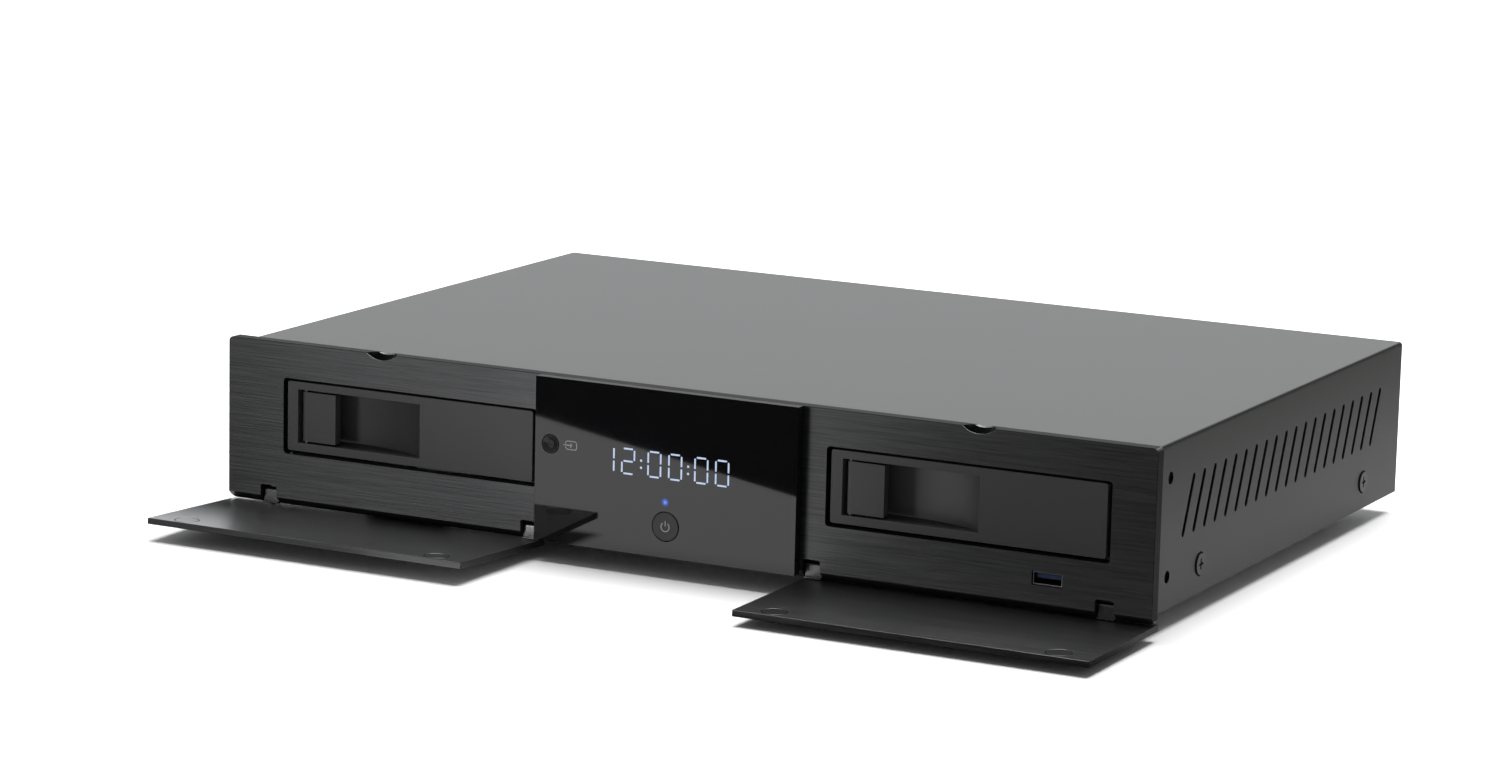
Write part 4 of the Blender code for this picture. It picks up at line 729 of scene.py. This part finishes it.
usb_contacts = joined("usb_contacts", strips)
bpy.data.objects.remove(contact)
contact_finish = Finish("contact_gold", (0.75, 0.5, 0.16), 0.25, metallic=1.0)
contact_finish.uneven(1200, low=0.2, spread=0.1)
contact_finish.on(usb_contacts)
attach(usb_contacts, "player")

# Rear sockets: plated shells for network, USB and video, and a red and a white ring round the
# plated contacts of the audio pair. The mains inlet is black plastic with two flat pins.
AUDIO_PITCH = 0.016
AUDIO_RING_RADIUS = 0.0044
AUDIO_CONTACT_RADIUS = 0.0029
HOUSING_COLOUR = (0.03, 0.03, 0.031)
PLATED_COLOUR = (0.6, 0.56, 0.45)
RED_COLOUR = (0.5, 0.02, 0.015)
WHITE_COLOUR = (0.7, 0.7, 0.67)
socket_finish = Finish("socket_metal", (0.5, 0.5, 0.51), 0.3, metallic=1.0)
socket_finish.uneven(500, low=0.26, spread=0.1)
socket_finish.coat("network_socket", "usb_socket_pair", "video_socket")
audio_low, audio_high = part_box("audio_sockets")
audio_middle = (audio_low + audio_high) / 2
audio_finish = Finish("audio_plastic", HOUSING_COLOUR, 0.4)
audio_colour = HOUSING_COLOUR
plated = 0.0
for side, ring_colour in ((-1, RED_COLOUR), (1, WHITE_COLOUR)):
    spread = audio_finish.away(audio_middle.x + side * AUDIO_PITCH / 2, audio_middle.z)
    audio_colour = audio_finish.mix(spread < AUDIO_RING_RADIUS, audio_colour, ring_colour)
    audio_colour = audio_finish.mix(spread < AUDIO_CONTACT_RADIUS, audio_colour, PLATED_COLOUR)
    plated = plated + (spread < AUDIO_CONTACT_RADIUS)
audio_finish.set("Base Color", audio_colour)
audio_finish.set("Metallic", plated)
audio_finish.coat("audio_sockets")
inlet_finish = Finish("socket_plastic", (0.025, 0.025, 0.026), 0.4)
inlet_finish.uneven(900, low=0.36, spread=0.1)
inlet_finish.coat("mains_inlet")

# Studio: a white floor, with a large soft lamp overhead, one behind and a small one in front.
# Black flags lie on the floor or stand on it where the gloss and the metal mirror something dark.
FLOOR_SIZE = 40
SKY_STRENGTH = 0.3
FLAG_RISE = 0.0008
FRONT_FLAG_RISE = 0.0005
RIGHT_FLAG_RISE = 0.0011
FLAG_NEAR = -0.125
FLAG_FAR = -6.0
LEFT_FLAG = ((-0.235, -0.40), (-0.075, FLAG_NEAR), (FLAG_FAR, FLAG_NEAR), (FLAG_FAR, FLAG_FAR))
RIGHT_FLAG = ((0.065, FLAG_NEAR), (-0.014, -0.29), (0.3, -0.29), (0.216, FLAG_NEAR))
SIDE_FLAG = ((0.31, 0.12), (2.0, 0.12), (2.0, 2.0), (0.31, 2.0))
FRONT_FLAG_EDGE = ((-0.213, -0.389, 0), (-0.024, -0.293, 0))
FRONT_FLAG_REACH = 6
DOOR_FLAG_PLACE = -0.105
DOOR_FLAG_RIGHT = -0.222
DOOR_FLAG_LEFT = -0.8
DOOR_FLAG_HEIGHT = 0.026
bpy.ops.object.select_all(action="DESELECT")
bpy.ops.mesh.primitive_plane_add(size=FLOOR_SIZE, location=(0, 0, 0))
floor = bpy.context.object
floor.name = "floor"
floor_finish = Finish("floor_white", (0.85, 0.85, 0.85), 0.9)
floor_finish.on(floor)
flag_finish = Finish("flag_black", (0.0, 0.0, 0.0), 1.0, Specular_IOR_Level=0.0)


def black_flag(name, corners):
    """A black sheet that only glossy surfaces see."""
    bpy.ops.object.select_all(action="DESELECT")
    bpy.ops.mesh.primitive_plane_add(size=1, location=(0, 0, 0))
    flag = bpy.context.object
    flag.name = name
    for vertex, corner in zip(flag.data.vertices, (corners[0], corners[1], corners[3], corners[2])):
        vertex.co = corner
    flag_finish.on(flag)
    flag.visible_camera = False
    flag.visible_diffuse = False
    flag.visible_shadow = False


def lying(outline, rise):
    """The corners of a flag that lies flat at that height."""
    return [(x, y, rise) for x, y in outline]


edge_start, edge_end = [Vector(corner) for corner in FRONT_FLAG_EDGE]
along = (edge_end - edge_start).normalized()
outwards = Vector((along.y, -along.x, 0))
lift = Vector((0, 0, FRONT_FLAG_RISE))
near_edge = [edge_start - along * FRONT_FLAG_REACH + lift, edge_end + along * FRONT_FLAG_REACH + lift]
far_edge = [corner + outwards * FRONT_FLAG_REACH for corner in reversed(near_edge)]
black_flag("front_flag", near_edge + far_edge)
black_flag("left_flag", lying(LEFT_FLAG, FLAG_RISE))
black_flag("right_flag", lying(RIGHT_FLAG, RIGHT_FLAG_RISE))
black_flag("side_flag", lying(SIDE_FLAG, FLAG_RISE))
black_flag("door_flag", [(x, DOOR_FLAG_PLACE, z) for x, z in (
    (DOOR_FLAG_RIGHT, 0), (DOOR_FLAG_RIGHT, DOOR_FLAG_HEIGHT),
    (DOOR_FLAG_LEFT, DOOR_FLAG_HEIGHT), (DOOR_FLAG_LEFT, 0))])

world = bpy.data.worlds.new("sky")
bpy.context.scene.world = world
world.use_nodes = True
background = world.node_tree.nodes["Background"]
background.inputs["Color"].default_value = (1, 1, 1, 1)
background.inputs["Strength"].default_value = SKY_STRENGTH


def soft_lamp(name, place, aim, size, energy, colour=(1, 1, 1)):
    """An area lamp at a place, turned towards a point."""
    lamp_data = bpy.data.lights.new(name, "AREA")
    lamp_data.shape = "RECTANGLE"
    lamp_data.size, lamp_data.size_y = size
    lamp_data.energy = energy
    lamp_data.color = colour
    lamp = bpy.data.objects.new(name, lamp_data)
    bpy.context.scene.collection.objects.link(lamp)
    lamp.location = place
    lamp.rotation_euler = (Vector(aim) - Vector(place)).to_track_quat("-Z", "Y").to_euler()
    lamp.visible_camera = False


soft_lamp("overhead", place=(0, 0.5, 2.8), aim=(0, 0.1, 0), size=(2.4, 2.4), energy=170)
soft_lamp("rear_card", place=(-2.4, 4.7, 1.75), aim=(0, 0, 0.5), size=(6.5, 2.0), energy=103,
          colour=(0.96, 0.985, 1.0))
soft_lamp("front_strip", place=(-0.40, -0.72, 0.045), aim=(-0.05, -0.12, 0.045), size=(0.16, 0.08),
          energy=0.6)

# Camera: it stands where the photograph was taken from, in front, to the right and a little above.
# It is tipped slightly on its own axis, and its lens is long.
CAMERA_PLACE = (0.887633, -1.778133, 0.441590)
CAMERA_TURN = math.radians(27.1437)
CAMERA_DIP = math.radians(10.8998)
CAMERA_ROLL = math.radians(1.3612)
LENS = 112.748
FILM_WIDTH = 36
look = Vector((-math.sin(CAMERA_TURN) * math.cos(CAMERA_DIP),
               math.cos(CAMERA_TURN) * math.cos(CAMERA_DIP),
               -math.sin(CAMERA_DIP)))
level_right = look.cross(Vector((0, 0, 1))).normalized()
level_up = level_right.cross(look)
right = level_right * math.cos(CAMERA_ROLL) + level_up * math.sin(CAMERA_ROLL)
up = level_up * math.cos(CAMERA_ROLL) - level_right * math.sin(CAMERA_ROLL)
camera_data = bpy.data.cameras.new("camera")
camera_data.sensor_width = FILM_WIDTH
camera_data.lens = LENS
camera = bpy.data.objects.new("camera", camera_data)
bpy.context.scene.collection.objects.link(camera)
camera.matrix_world = Matrix.Translation(CAMERA_PLACE) @ Matrix((right, up, -look)).transposed().to_4x4()
bpy.context.scene.camera = camera
bpy.context.scene.view_settings.view_transform = "Standard"
